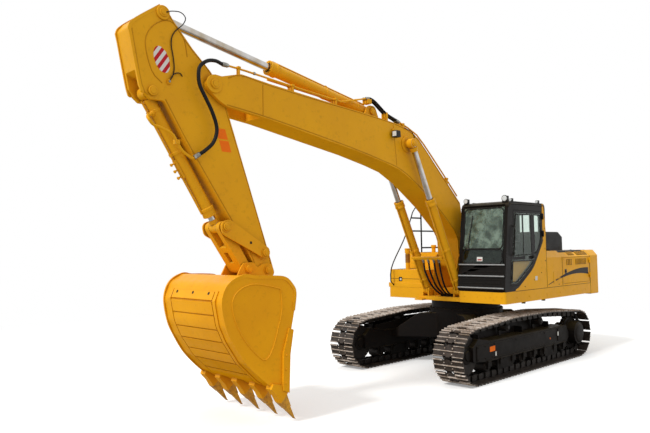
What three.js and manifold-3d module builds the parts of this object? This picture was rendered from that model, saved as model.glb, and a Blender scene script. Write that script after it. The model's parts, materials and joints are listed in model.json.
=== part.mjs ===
// Crawler excavator, built as an assembly of separate pieces in one frame.
// Millimetres, +X forward, +Y to the machine's left, +Z up, standing on z = 0.
// Pieces are placed about the swing axis (x = 0), and the whole group is moved at the
// end so that its origin is the middle of its footprint box on the ground.
import * as THREE from 'three';
import { mergeVertices } from 'three/addons/utils/BufferGeometryUtils.js';
import Module from 'manifold-3d';

const wasm = await Module();
wasm.setup();

// ---------------------------------------------------------------- driving dimensions
const gap = 0.3;               // seat gap between two pieces that touch
const runGap = 6;              // clearance beside a piece that moves
const boreGap = 0.9;           // radial clearance of a pin in its bore
const rodGap = 0.6;            // radial clearance of a rod in its gland
const pinSides = 20;           // sides of a linkage pin and its bore
const roundSides = 14;         // sides of a large round piece
const smallSides = 8;          // sides of a thin pin or a pipe
const wheelSides = 40;         // sides of the idlers and sprockets

const smallestFacet = 0.05;    // slivers finer than this are cleaned away

const track = {
  tumblerSpan: 4030, gauge: 2480, shoeWidth: 600, height: 980, shoeCount: 50,
  plate: 16, grouser: 24, chainHeight: 105, chainWidth: 230,
  rollerRadius: 95, rollerCount: 8,
  carrierRadius: 75, carrierX: 650, carrierLift: 90,
};
const trackFrame = { bottom: 330, top: 690, frontTop: 762, width: 330 };
const centre = { topZ: 1085, bottomZ: 520, halfLength: 620, legLength: 1150 };
const ring = { bottomZ: centre.topZ, topZ: 1300, outer: 700, inner: 560 };
const deck = { bottomZ: 1300, topZ: 1520, lowZ: 1380, front: 990, halfWidth: 1490, rear: -2680 };
const pit = { front: 930, rear: 450, half: 515 };   // low front part of the deck under the boom
const tail = { radius: 3440, bottomZ: 1275, topZ: 2250, chamfer: 120, front: deck.rear - gap };
const housing = { front: -660, rear: deck.rear, topZ: 2250, chamfer: 130, wall: 35 };
const cab = {
  front: 995, rear: -640, left: 1490, right: 480, floorZ: deck.topZ + gap, topZ: 3200,
  slope: 215, wall: 50,
};
const doorway = { front: 800, rear: -510, bottomZ: 1620, topZ: 3040, curveZ: 2480, curveX: 500 };
const fairing = { thick: 28, edge: 34 };   // panel behind the cab door
const pane = { thick: 6, lap: 25 };        // window glass bonded over its opening
const boomFoot = { x: 450, z: 2080 };
const boomTip = { x: 6418, z: 4665 };
const boomPin = { x: 2185, z: 4267 };       // boom cylinder rod eye
const cylinderFoot = { x: 800, z: 1500 };   // boom cylinder foot
const armCylinderBase = { x: 3010, z: 4785 };
const armHead = { x: 7168, z: 5496 };       // arm cylinder rod eye
const bucketCylinderBase = { x: 7322, z: 4432 };
const rockerPivot = { x: 5536, z: 2323 };
const upperLink = { x: 6224, z: 2694 };
const bucketLink = { x: 5822, z: 2099 };
const bucketPivot = { x: 5470, z: 2070 };

const boomHalfWidth = 250;
const armHalfWidth = 178;
const boomCylinderY = 376;
const earThick = 24;             // bucket ears
const rockerThick = 26;
const linkHalf = 172;            // half width of the link between the bucket's ears
const linkEar = 90;              // thickness of that link's ears beside the rod's eye
const mainPin = 72;              // radius of the boom's foot and tip pins
const linkPin = 50;              // radius of the bucket linkage's pins
const bucketHalf = 800;          // half width of the bucket before its flare

// columns: base eye radius, barrel length, barrel radius, gland length, half width of the eyes,
// pin radius, rod radius, rod length, rod eye radius
const boomCylinder = {
  eye: 92, barrel: 1972, radius: 85, head: 120, headRadius: 94, half: 50, pin: 45,
  rod: 52, rodLength: 1850, rodEye: 90,
};
const armCylinder = {
  eye: 95, barrel: 2285, radius: 97, head: 150, headRadius: 112, half: 95, pin: 50,
  rod: 60, rodLength: 2240, rodEye: 95,
};
const bucketCylinder = {
  eye: 85, barrel: 1860, radius: 85, head: 130, headRadius: 98, half: 75, pin: 50,
  rod: 50, rodLength: 1780, rodEye: 80,
};

// ---------------------------------------------------------------- shape tools
/** Closed solid of a geometry, with its shared corners merged. */
function solid(geometry) {
  const bare = geometry.clone();
  bare.deleteAttribute('normal');
  bare.deleteAttribute('uv');
  const merged = mergeVertices(bare, 1e-4);
  const mesh = new wasm.Mesh({
    numProp: 3,
    vertProperties: new Float32Array(merged.attributes.position.array),
    triVerts: new Uint32Array(merged.index.array),
  });
  return new wasm.Manifold(mesh);
}

/** Box between two corners given as ranges. */
function block([x0, x1], [y0, y1], [z0, z1]) {
  const shape = new THREE.BoxGeometry(x1 - x0, y1 - y0, z1 - z0);
  shape.translate((x0 + x1) / 2, (y0 + y1) / 2, (z0 + z1) / 2);
  return solid(shape);
}

/** Outline through corners [a, b, radius]; a corner with a radius is rounded by an arc. */
function outline(corners, arcSteps = 3) {
  const points = [];
  corners.forEach(([a, b, radius = 0], i) => {
    const corner = new THREE.Vector2(a, b);
    if (!radius) {
      points.push(corner);
      return;
    }
    const before = corners[(i + corners.length - 1) % corners.length];
    const after = corners[(i + 1) % corners.length];
    const toBefore = new THREE.Vector2(before[0] - a, before[1] - b);
    const toAfter = new THREE.Vector2(after[0] - a, after[1] - b);
    const shorter = Math.min(toBefore.length(), toAfter.length());
    toBefore.normalize();
    toAfter.normalize();
    const half = Math.acos(THREE.MathUtils.clamp(toBefore.dot(toAfter), -1, 1)) / 2;
    const round = Math.min(radius, 0.48 * shorter * Math.tan(half));
    const middle = toBefore.clone().add(toAfter).normalize().multiplyScalar(round / Math.sin(half));
    const hub = corner.clone().add(middle);
    const start = corner.clone().addScaledVector(toBefore, round / Math.tan(half)).sub(hub);
    const sweep = Math.PI - 2 * half;
    const turn = Math.sign(toBefore.cross(toAfter)) || 1;
    for (let step = 0; step <= arcSteps; step += 1) {
      const angle = -turn * sweep * step / arcSteps;
      points.push(start.clone().rotateAround(new THREE.Vector2(), angle).add(hub));
    }
  });
  return new THREE.Shape(points);
}

/** Plate with an outline in x and z, between two y values. */
function plateXZ(shape, y0, y1, curveSegments = 8) {
  const plate = new THREE.ExtrudeGeometry(shape, { depth: y1 - y0, bevelEnabled: false, curveSegments });
  plate.rotateX(Math.PI / 2);
  plate.translate(0, y1, 0);
  return solid(plate);
}

/** Plate with an outline in x and y, between two z values. */
function plateXY(shape, z0, z1, curveSegments = 8) {
  const plate = new THREE.ExtrudeGeometry(shape, { depth: z1 - z0, bevelEnabled: false, curveSegments });
  plate.translate(0, 0, z0);
  return solid(plate);
}

/** Plate with an outline in y and z, between two x values. */
function plateYZ(shape, x0, x1) {
  const plate = new THREE.ExtrudeGeometry(shape, { depth: x1 - x0, bevelEnabled: false });
  plate.rotateX(Math.PI / 2);
  plate.rotateZ(Math.PI / 2);
  plate.translate(x0, 0, 0);
  return solid(plate);
}

/** Round bar between two points. */
function bar(from, to, radius, sides = smallSides) {
  const a = new THREE.Vector3(...from);
  const b = new THREE.Vector3(...to);
  const length = a.distanceTo(b);
  const rod = new THREE.CylinderGeometry(radius, radius, length, sides);
  const turn = new THREE.Quaternion().setFromUnitVectors(
    new THREE.Vector3(0, 1, 0), b.clone().sub(a).normalize());
  rod.applyQuaternion(turn);
  rod.translate(...a.add(b).multiplyScalar(0.5).toArray());
  return solid(rod);
}

/** Round bar across the machine at a point of the x-z plane. */
function pin(at, y0, y1, radius, sides = pinSides) {
  return bar([at.x, y0, at.z], [at.x, y1, at.z], radius, sides);
}

/** Round tube along a smooth curve through points. */
function tube(points, radius, steps, sides = 8) {
  const path = new THREE.CatmullRomCurve3(points.map((point) => new THREE.Vector3(...point)), false, 'centripetal');
  const ring = new THREE.Shape(new THREE.EllipseCurve(0, 0, radius, radius).getPoints(sides).slice(0, sides));
  return solid(new THREE.ExtrudeGeometry(ring, { steps, bevelEnabled: false, extrudePath: path }));
}

/** One solid of several that touch. */
function join(...pieces) {
  return pieces.flat().reduce((whole, piece) => whole.add(piece));
}

/** A solid less several others. */
function cut(whole, ...pieces) {
  return pieces.flat().reduce((rest, piece) => rest.subtract(piece), whole);
}

/** The same solid on the machine's other side. */
function otherSide(piece) {
  return piece.mirror([0, 1, 0]);
}

/** A solid drawn along +X from the origin, turned in the x-z plane to point at a target. */
function aimed(piece, from, to) {
  const angle = Math.atan2(to.z - from.z, to.x - from.x);
  return piece.rotate([0, -THREE.MathUtils.radToDeg(angle), 0]).translate([from.x, 0, from.z]);
}

// ---------------------------------------------------------------- finishes
function finish(color, roughness, metalness) {
  return new THREE.MeshStandardMaterial({ color, roughness, metalness });
}
const yellowPaint = finish(0xe0a020, 0.4, 0);
const blackPaint = finish(0x24211e, 0.55, 0);
const trackSteel = finish(0x6f655c, 0.55, 0.7);
const darkSteel = finish(0x2c2a28, 0.5, 0.5);
const chrome = finish(0xb9bcc2, 0.15, 1);
const windowGlass = finish(0x3a4438, 0.05, 0);
const rubber = finish(0x121212, 0.7, 0);
const seatCloth = finish(0x2a2a2c, 0.9, 0);

const machine = new THREE.Group();

/** Adds one named piece to the machine. */
function piece(name, body, material) {
  const data = body.simplify(smallestFacet).getMesh();
  const geometry = new THREE.BufferGeometry();
  geometry.setAttribute('position', new THREE.BufferAttribute(new Float32Array(data.vertProperties), 3));
  geometry.setIndex(new THREE.BufferAttribute(new Uint32Array(data.triVerts), 1));
  geometry.computeVertexNormals();
  const mesh = new THREE.Mesh(geometry, material);
  mesh.name = name;
  machine.add(mesh);
}

// ---------------------------------------------------------------- tracks
const tumblerX = track.tumblerSpan / 2;
const wrapRadius = track.height / 2;
const trackMidZ = wrapRadius;
const wheelRadius = wrapRadius - track.grouser - track.plate - track.chainHeight;
const trackY = track.gauge / 2;

const carrierZ = track.height + track.carrierLift
  - track.grouser - track.plate - track.chainHeight - gap - track.carrierRadius;

// the wheels that the belt runs round, anticlockwise from the front; columns: x, z, radius
const wheels = [
  [tumblerX, trackMidZ, wheelRadius],
  [track.carrierX, carrierZ, track.carrierRadius],
  [-track.carrierX, carrierZ, track.carrierRadius],
  [-tumblerX, trackMidZ, wheelRadius],
].map(([x, z, radius]) => ({ hub: new THREE.Vector2(x, z), radius }));

/** Angle of the outward normal of the belt's straight run from one wheel to the next. */
function runAngle(wheel, next) {
  const way = next.hub.clone().sub(wheel.hub);
  return way.angle() - Math.PI / 2 + Math.asin((wheel.radius - next.radius) / way.length());
}

// the belt as arcs round its wheels and the straight run after each
const belt = wheels.map((wheel, i) => {
  const next = wheels[(i + 1) % wheels.length];
  const before = wheels[(i + wheels.length - 1) % wheels.length];
  const start = runAngle(before, wheel);
  let end = runAngle(wheel, next);
  while (end < start) {
    end += 2 * Math.PI;
  }
  const apart = next.hub.distanceTo(wheel.hub);
  return { ...wheel, start, end, run: Math.sqrt(apart ** 2 - (wheel.radius - next.radius) ** 2) };
});

const pitchRadius = track.chainHeight / 2;     // the chain's pins, outward from the wheels' rims
const arcLength = (leg) => (leg.end - leg.start) * (leg.radius + pitchRadius);
const beltLength = belt.reduce((sum, leg) => sum + arcLength(leg) + leg.run, 0);

/** Point on the belt at a distance along the chain's pins, moved outward from the wheels' rims. */
function loopPoint(distance, outward) {
  let s = ((distance % beltLength) + beltLength) % beltLength;
  const leg = belt.find((candidate) => {
    const length = arcLength(candidate) + candidate.run;
    if (s < length) {
      return true;
    }
    s -= length;
    return false;
  });
  const angle = Math.min(leg.end, leg.start + s / (leg.radius + pitchRadius));
  const past = Math.max(0, s - arcLength(leg));
  const normal = new THREE.Vector2(Math.cos(angle), Math.sin(angle));
  const along = new THREE.Vector2(-normal.y, normal.x);
  return leg.hub.clone().addScaledVector(normal, leg.radius + outward).addScaledVector(along, past);
}

/** Outline of the belt at one distance outward, whose arcs share the wheels' corners. */
function loopOutline(outward) {
  const facet = 2 * Math.PI / wheelSides;
  const corners = belt.flatMap((leg) => {
    const angles = [leg.start];
    for (let k = Math.floor(leg.start / facet) + 1; k * facet < leg.end - 0.01; k += 1) {
      angles.push(k * facet);
    }
    angles.push(leg.end);
    return angles.map((angle) => new THREE.Vector2(Math.cos(angle), Math.sin(angle))
      .multiplyScalar(leg.radius + outward).add(leg.hub));
  });
  return new THREE.Shape(corners);
}

function buildTrack() {
  const pitch = beltLength / track.shoeCount;
  const plateTop = track.chainHeight + track.plate;
  const corners = [];
  // columns: place along the shoe as a share of its pitch, 1 = on top of the grouser
  const shoe = [[0.02, 0], [0.06, 1], [0.14, 1], [0.18, 0]];
  for (let i = 0; i < track.shoeCount; i += 1) {
    shoe.forEach(([share, raised]) => {
      corners.push(loopPoint((i + share) * pitch, plateTop + raised * track.grouser));
    });
  }
  const half = track.shoeWidth / 2;
  const shoes = cut(
    plateXZ(new THREE.Shape(corners), -half, half),
    plateXZ(loopOutline(track.chainHeight), -half - 1, half + 1));
  const chainHalf = track.chainWidth / 2;
  const chain = cut(
    plateXZ(loopOutline(track.chainHeight + 5), -chainHalf, chainHalf),
    plateXZ(loopOutline(gap), -chainHalf - 1, chainHalf + 1));
  return join(shoes, chain);
}

function buildSideFrame() {
  const half = trackFrame.width / 2;
  const frontEnd = tumblerX - 60;
  const rearEnd = -tumblerX + wheelRadius + 85;
  const side = plateXZ(outline([
    [frontEnd, trackMidZ - 110, 30], [frontEnd, trackMidZ + 140, 30], [tumblerX - 230, trackFrame.frontTop, 40],
    [tumblerX - 620, trackFrame.top, 60], [rearEnd, trackFrame.top, 60], [rearEnd - 110, trackMidZ + 40, 20],
    [rearEnd - 110, trackMidZ - 60, 20], [rearEnd, trackFrame.bottom, 40], [tumblerX - 500, trackFrame.bottom, 40],
  ]), -half, half);
  // the idler sits between the arms of a yoke at the front
  const yoke = block([tumblerX - wheelRadius - 40, frontEnd + 10], [-75, 75], [0, track.height]);
  const rearRoom = block([rearEnd - 300, rearEnd - 40], [-70, 70], [0, track.height]);
  const pieces = [cut(side, yoke, rearRoom)];
  const rollerZ = track.grouser + track.plate + track.chainHeight + gap + track.rollerRadius;
  const first = -tumblerX + 560;
  const step = (2 * tumblerX - 1120) / (track.rollerCount - 1);
  for (let i = 0; i < track.rollerCount; i += 1) {
    const x = first + i * step;
    pieces.push(pin({ x, z: rollerZ }, -130, 130, track.rollerRadius, smallSides));
    pieces.push(block([x - 45, x + 45], [-half, half], [rollerZ - 40, trackFrame.bottom + 10]));
  }
  [-track.carrierX, track.carrierX].forEach((x) => {
    pieces.push(pin({ x, z: carrierZ }, -90, 90, track.carrierRadius - gap, smallSides));
    pieces.push(block([x - 40, x + 40], [-110, -80], [trackFrame.top - 10, carrierZ + 30]));
  });
  return join(pieces);
}

function buildIdler() {
  const rim = pin({ x: tumblerX, z: trackMidZ }, -60, 60, wheelRadius - 0.6, wheelSides);
  const hub = pin({ x: tumblerX, z: trackMidZ }, -72, 72, 130, roundSides);
  return join(rim, hub);
}

function buildSprocket() {
  const at = { x: -tumblerX, z: trackMidZ };
  const rim = pin(at, -50, 50, wheelRadius - 0.6, wheelSides);
  const drive = pin(at, 50, 250, 235, roundSides);
  const cap = pin(at, 250, 275, 150, roundSides);
  const motor = pin(at, -240, -50, 190, roundSides);
  return join(rim, drive, cap, motor);
}

const trackLoop = buildTrack();
const sideFrame = buildSideFrame();
const idler = buildIdler();
const sprocket = buildSprocket();
// columns: name, shift across the machine, 1 = mirrored
[['left', trackY, false], ['right', -trackY, true]].forEach(([side, y, mirrored]) => {
  const place = (body) => (mirrored ? otherSide(body) : body).translate([0, y, 0]);
  piece(`track_${side}`, place(trackLoop), trackSteel);
  piece(`track_frame_${side}`, place(sideFrame), blackPaint);
  piece(`idler_${side}`, place(idler), darkSteel);
  piece(`sprocket_${side}`, place(sprocket), darkSteel);
});

// ---------------------------------------------------------------- centre frame
function buildCentreFrame() {
  const drum = bar([0, 0, centre.bottomZ + 60], [0, 0, centre.topZ - gap], ring.outer + 40, 28);
  const belly = block([-centre.halfLength, centre.halfLength], [-560, 560], [centre.bottomZ, centre.topZ - 160]);
  const reach = trackY - trackFrame.width / 2 - gap;
  const plan = plateXY(outline([
    [250, 300], [560, 60], [centre.legLength, reach - 200, 60], [centre.legLength, reach],
    [centre.legLength - 420, reach], [120, 560],
  ]), centre.bottomZ + 20, centre.topZ);
  const fall = plateYZ(outline([
    [0, centre.bottomZ], [reach, centre.bottomZ], [reach, trackFrame.top - 20], [reach - 160, trackFrame.top + 30],
    [540, centre.topZ - 60], [0, centre.topZ - 60],
  ]), 0, centre.legLength + 50);
  const leg = plan.intersect(fall);
  const half = join(leg, otherSide(leg));
  return join(drum, belly, half, half.mirror([1, 0, 0]));
}

function buildRing() {
  const outer = bar([0, 0, ring.bottomZ + gap], [0, 0, ring.topZ - gap], ring.outer, 40);
  const hole = bar([0, 0, ring.bottomZ - 10], [0, 0, ring.topZ + 10], ring.inner, 40);
  return cut(outer, hole);
}

piece('centre_frame', buildCentreFrame(), blackPaint);
piece('swing_ring', buildRing(), darkSteel);

// ---------------------------------------------------------------- deck
const lug = { radius: 80, thick: 25 };            // ears at the boom cylinders' feet
const upright = { inner: boomHalfWidth + 15, outer: boomHalfWidth + 35 };

function buildDeck() {
  const plan = plateXY(outline([
    [deck.front, pit.half, 20], [deck.front, deck.halfWidth, 60], [deck.rear, deck.halfWidth],
    [deck.rear, -deck.halfWidth], [700, -deck.halfWidth, 60], [700, -pit.half, 20],
    [pit.front, -pit.half], [pit.front, pit.half],
  ]), deck.bottomZ, deck.topZ);
  const low = block([pit.rear, pit.front + 100], [-pit.half, pit.half], [deck.lowZ, deck.topZ + 10]);
  const lip = block([pit.front - 10, pit.front + 130], [-pit.half, -330], [deck.bottomZ, deck.bottomZ + 30]);
  const side = plateXZ(outline([
    [housing.front + 20, deck.topZ - 20], [pit.rear - 10, deck.topZ - 20], [pit.rear - 10, deck.lowZ - 20],
    [700, deck.lowZ - 20], [760, 1720, 100], [640, boomFoot.z + 150, 150],
    [260, boomFoot.z + 150, 150], [-300, 1850, 150],
  ]), upright.inner, upright.outer);
  const ear = join(
    plateXZ(outline([
      [cylinderFoot.x - 150, deck.lowZ - 10], [cylinderFoot.x + lug.radius - 2, deck.lowZ - 10],
      [cylinderFoot.x + lug.radius, cylinderFoot.z], [cylinderFoot.x - lug.radius, cylinderFoot.z],
    ]), 0, lug.thick),
    pin(cylinderFoot, 0, lug.thick, lug.radius, roundSides));
  const room = boomCylinder.half + runGap;
  const ears = [boomCylinderY - room - lug.thick, boomCylinderY + room].map((y) => ear.translate([0, y, 0]));
  const footPin = pin(boomFoot, -1, upright.outer + 20, mainPin);
  const reach = room + lug.thick + 12;
  const cylinderPin = pin(cylinderFoot, boomCylinderY - reach, boomCylinderY + reach, boomCylinder.pin);
  const half = join(side, ears, footPin, cylinderPin);
  return join(cut(plan, low), lip, half, otherSide(half));
}

piece('deck', buildDeck(), yellowPaint);

// ---------------------------------------------------------------- rear body
/** Cross-section of the rear body: flat sides with a chamfer along each top edge. */
function bodySection(inset, bottomZ, topZ, chamfer) {
  const half = deck.halfWidth - inset;
  return outline([
    [-half, bottomZ], [half, bottomZ], [half, topZ - chamfer], [half - chamfer, topZ],
    [-half + chamfer, topZ], [-half, topZ - chamfer],
  ]);
}

const door = { front: -1370, rear: -2640, bottomZ: 1560, topZ: 2110 };
const hood = { front: -1350, rear: -2560, half: 640, thick: 40 };
const intake = { rear: -2410, front: -1500, left: 1000, right: -500, topZ: 2656 };
const hinge = { pin: 9, knuckle: 18, out: 20, height: 60 };
const bodyDoorHinge = { x: door.rear + runGap, y: deck.halfWidth + hinge.out, heights: [door.bottomZ + 80, door.topZ - 140] };
const cabDoorHinge = { x: doorway.rear + runGap, y: cab.left + hinge.out, heights: [2540, 2880] };

/** Upright hinge pins on the fixed side, each on a foot that reaches in to the wall behind it. */
function hingePins({ x, y, heights }) {
  return heights.map((z) => join(
    bar([x, y, z], [x, y, z + 2 * hinge.height], hinge.pin, smallSides),
    bar([x, y, z], [x, y, z + hinge.height - gap], hinge.knuckle, smallSides),
    block([x - 34, x - 8], [y - hinge.out - 5, y], [z, z + hinge.height - gap])));
}

/** Knuckles on the door, each round the upper half of one pin. */
function hingeKnuckles({ x, y, heights }) {
  return heights.map((z) => join(
    bar([x, y, z + hinge.height], [x, y, z + 2 * hinge.height - 5], hinge.knuckle, smallSides),
    block([x + 8, x + 40], [y - hinge.out - 5, y], [z + hinge.height, z + 2 * hinge.height - 5])));
}

/** Room for the pins inside the knuckles. */
function hingeBores({ x, y, heights }) {
  return heights.map((z) => bar(
    [x, y, z], [x, y, z + 2 * hinge.height + 1], hinge.pin + boreGap, smallSides));
}

function buildHousingFrame() {
  const outer = plateYZ(bodySection(0, deck.topZ + gap, housing.topZ, housing.chamfer), housing.rear, housing.front);
  const seatZ = housing.topZ - hood.thick - gap;
  const recess = block([hood.rear - runGap, hood.front + runGap], [-2000, 2000], [seatZ, housing.topZ + 10]);
  const inner = plateYZ(
    bodySection(housing.wall, deck.topZ - 1, seatZ - housing.wall, housing.chamfer),
    housing.rear - 1, housing.front - housing.wall);
  const doorHole = block([door.rear, door.front], [-2000, 2000], [door.bottomZ, door.topZ]);
  const hoodHole = block([hood.rear + 60, hood.front - 60], [-hood.half + 60, hood.half - 60], [2000, 2400]);
  const pins = join(hingePins(bodyDoorHinge));
  return join(cut(outer, recess, inner, doorHole, hoodHole), pins, otherSide(pins));
}

function buildSideDoor() {
  const panel = block(
    [door.rear + runGap, door.front - runGap],
    [deck.halfWidth - housing.wall, deck.halfWidth],
    [door.bottomZ + runGap, door.topZ - runGap]);
  return cut(join(panel, hingeKnuckles(bodyDoorHinge)), hingeBores(bodyDoorHinge));
}

function buildHood() {
  const z0 = housing.topZ - hood.thick;
  const skin = plateYZ(outline([
    [-deck.halfWidth + housing.chamfer, z0], [deck.halfWidth - housing.chamfer, z0],
    [deck.halfWidth - housing.chamfer - 15, housing.topZ], [-deck.halfWidth + housing.chamfer + 15, housing.topZ],
  ]), hood.rear, hood.front);
  // the intake box stands over the radiator, with a sloped rear edge
  const raised = plateXZ(outline([
    [intake.rear, housing.topZ - 5], [intake.rear, intake.topZ - 110], [intake.rear + 190, intake.topZ],
    [intake.front - 40, intake.topZ, 30], [intake.front, housing.topZ - 5],
  ]), intake.right, intake.left);
  return join(skin, raised);
}

function buildCounterweight() {
  const section = plateYZ(bodySection(0, tail.bottomZ, tail.topZ, tail.chamfer), -tail.radius, tail.front);
  const sweep = bar([0, 0, tail.bottomZ - 10], [0, 0, tail.topZ + 10], tail.radius, 96);
  const recess = block([tail.front - 250, tail.front + 1], [-560, 560], [tail.bottomZ + 180, tail.topZ - 150]);
  return cut(section.intersect(sweep), recess);
}

piece('counterweight', buildCounterweight(), yellowPaint);
piece('housing_frame', buildHousingFrame(), yellowPaint);
piece('left_door', buildSideDoor(), yellowPaint);
piece('right_door', otherSide(buildSideDoor()), yellowPaint);
piece('engine_hood', buildHood(), blackPaint);
piece('engine_block', block([-2450, -1500], [-480, 480], [deck.topZ + gap, 2080]), darkSteel);

// ---------------------------------------------------------------- right front
const tank = { front: -40, rear: -640, topZ: 2250 };
const toolBox = { front: 690, rear: 20, topZ: 1895 };

function buildFuelTank() {
  const body = block([tank.rear, tank.front], [-deck.halfWidth, -440], [deck.topZ + gap, tank.topZ]);
  const neck = bar([-200, -750, tank.topZ - 5], [-200, -750, tank.topZ + 150], 45);
  const cap = bar([-200, -750, tank.topZ + 150], [-200, -750, tank.topZ + 205], 58);
  return join(body, neck, cap);
}

/** Tool box with a step along its foot. */
function buildToolBox() {
  const body = block([toolBox.rear, toolBox.front], [-deck.halfWidth + 40, -520], [deck.topZ + gap, toolBox.topZ]);
  const step = block([toolBox.rear, toolBox.front + 10], [-deck.halfWidth, -520], [deck.topZ + gap, 1610]);
  return join(body, step);
}

/** Grab rail up the front corner and over the tank, with a braced post. */
function buildHandrail() {
  const y = -1350;
  const thin = 13;
  const thick = 17;
  const postX = -320;
  const endX = -980;
  const topZ = 3270;
  return join(
    tube([[toolBox.front + 13, y, 1560], [toolBox.front + 80, y, 1570], [toolBox.front + 95, y, 1880],
      [280, y, 2600], [20, y, 3080], [-60, y, topZ - 40], [-200, y, topZ], [endX, y, topZ]], thin, 20, 6),
    bar([endX, y, housing.topZ + gap], [endX, y, topZ + thin], thick),
    bar([postX, y, tank.topZ + gap], [postX, y, topZ], thick),
    bar([50, y, 3030], [postX, y, 3030], thick, 8),
    bar([200, y, 2735], [endX, y, 2735], thick, 8),
    bar([postX, y, 2355], [endX, y, 2355], thick, 8));
}

/** Hydraulic oil filler beside the tank, an upright pipe under a wider cap. */
function buildFiller() {
  const [x, y] = [580, -1050];
  return join(
    bar([x, y, toolBox.topZ + gap], [x, y, toolBox.topZ + 350], 48, roundSides),
    bar([x, y, toolBox.topZ + 350], [x, y, toolBox.topZ + 430], 60, roundSides));
}

piece('fuel_tank', buildFuelTank(), yellowPaint);
piece('tool_box', buildToolBox(), yellowPaint);
piece('handrail', buildHandrail(), blackPaint);
piece('oil_filler', buildFiller(), yellowPaint);

// ---------------------------------------------------------------- cab

/** Outline of the cab's side, drawn in from its edges by an inset. */
function cabSide(inset) {
  return outline([
    [cab.rear + inset, cab.floorZ + inset, 40], [cab.front - inset, cab.floorZ + inset, 40],
    [cab.front - cab.slope - inset, cab.topZ - inset, 120], [cab.rear + inset, cab.topZ - inset, 90],
  ]);
}

/** Outline of the doorway, grown outward by a distance; its rear lower edge sweeps forward. */
function doorSide(grow) {
  return outline([
    [doorway.rear - grow, doorway.curveZ - 0.4 * grow, 200], [doorway.rear - grow, doorway.topZ + grow, 60],
    [doorway.front - 170 + grow, doorway.topZ + grow, 60], [doorway.front + grow, doorway.bottomZ - grow, 40],
    [doorway.curveX - 0.5 * grow, doorway.bottomZ - grow, 60], [-90 - 0.7 * grow, 1955 - 0.7 * grow, 700],
  ]);
}

/** Place of the sloped front face at a height. */
function cabFrontX(z) {
  return cab.front - cab.slope * (z - cab.floorZ) / (cab.topZ - cab.floorZ);
}

const screen = { right: cab.right + 110, left: cab.left - 90, bottomZ: 2330, topZ: 3070 };
const lowerScreen = { bottomZ: 2050, topZ: 2290 };
// windows in the right wall; columns: rear, front, bottom, top
const rightWindows = [[cab.rear + 60, 640, 2150, 3010], [0, 750, 1700, 2100]];
// windows in the rear wall; columns: right, left, bottom, top
const rearWindows = [[cab.right + 60, 720, 2340, 2990], [940, cab.left - 100, 2340, 2990]];
const guardHeights = [1590, 1810, 2020];      // bars across the front below the screen
// roof lamps; columns: x, y, half width, height
const roofLamps = [[720, 560, 45, 85], [720, 1400, 55, 100], [430, 1360, 25, 70], [-560, 1380, 28, 70]];

function buildCabShell() {
  const outer = plateXZ(cabSide(0), cab.right, cab.left);
  const inner = plateXZ(cabSide(cab.wall), cab.right + cab.wall, cab.left - cab.wall);
  const doorHole = plateXZ(doorSide(0), cab.left - cab.wall - 10, cab.left + 10);
  const screenHole = block([300, 1200], [screen.right, screen.left], [screen.bottomZ, screen.topZ]);
  const lowerHole = block([300, 1200], [screen.right, screen.left], [lowerScreen.bottomZ, lowerScreen.topZ]);
  const rightHoles = rightWindows.map(([x0, x1, z0, z1]) => block(
    [x0, x1], [cab.right - 10, cab.right + cab.wall + 10], [z0, z1]));
  const rearHoles = rearWindows.map(([y0, y1, z0, z1]) => block(
    [cab.rear - 10, cab.rear + cab.wall + 10], [y0, y1], [z0, z1]));
  const seatOfFairing = plateXZ(fairingSide(gap), cab.left - fairing.thick - gap, cab.left + 10);
  const walls = cut(outer, inner, doorHole, screenHole, lowerHole, rightHoles, rearHoles, seatOfFairing);
  const guards = guardHeights.map((z) => join(
    bar([cabFrontX(z) + 32, cab.right + 30, z], [cabFrontX(z) + 32, cab.left - 20, z], 11, 8),
    [cab.right + 50, cab.left - 40].map((y) => bar([cabFrontX(z) - 10, y, z], [cabFrontX(z) + 32, y, z], 9, 8))));
  const lamps = roofLamps.map(([x, y, half, height]) => block(
    [x - 30, x + 30], [y - half, y + half], [cab.topZ - 30, cab.topZ + height]));
  return join(walls, hingePins(cabDoorHinge), guards, lamps);
}

/** Outline of the fairing behind and below the door, grown by a distance. */
function fairingSide(grow) {
  const front = doorway.rear - fairing.edge + grow;
  return outline([
    [housing.front + gap - grow, cab.floorZ - grow], [600, cab.floorZ - grow], [600 + grow, 1550, 20],
    [480, doorway.bottomZ - fairing.edge + grow], [-90 - 0.7 * fairing.edge, 1955 - 0.7 * fairing.edge + grow, 700],
    [front, doorway.curveZ - 14, 200], [front, cab.topZ - 5 + grow, 30], [housing.front + 80, cab.topZ + grow, 60],
    [housing.front + gap - grow, 2640, 60],
  ]);
}

function buildFairing() {
  return plateXZ(fairingSide(0), cab.left - fairing.thick, cab.left);
}

const doorWindow = { rear: -410, front: 640, bottomZ: 2190, topZ: 2960 };
const doorLowWindow = { front: 735, topZ: 2080 };

/** Outline of the door's upper window, grown by a distance. */
function upperWindow(grow) {
  return outline([
    [doorWindow.rear - grow, 2470 - 0.5 * grow, 60], [doorWindow.rear - grow, doorWindow.topZ + grow, 40],
    [doorWindow.front - 95 + grow, doorWindow.topZ + grow, 40], [doorWindow.front + 10 + grow, doorWindow.bottomZ - grow, 30],
    [-170 - 0.5 * grow, doorWindow.bottomZ - grow, 60],
  ]);
}

/** Outline of the door's lower window, whose rear edge follows the door's sweep. */
function lowerWindow(grow) {
  return outline([
    [-90 - grow, doorLowWindow.topZ + grow, 30], [doorLowWindow.front - 45 + grow, doorLowWindow.topZ + grow, 20],
    [doorLowWindow.front + grow, doorway.bottomZ + 75 - grow, 20], [530 - 0.5 * grow, doorway.bottomZ + 75 - grow, 30],
    [-20 - 0.8 * grow, 2010 - 0.6 * grow, 300],
  ]);
}

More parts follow.
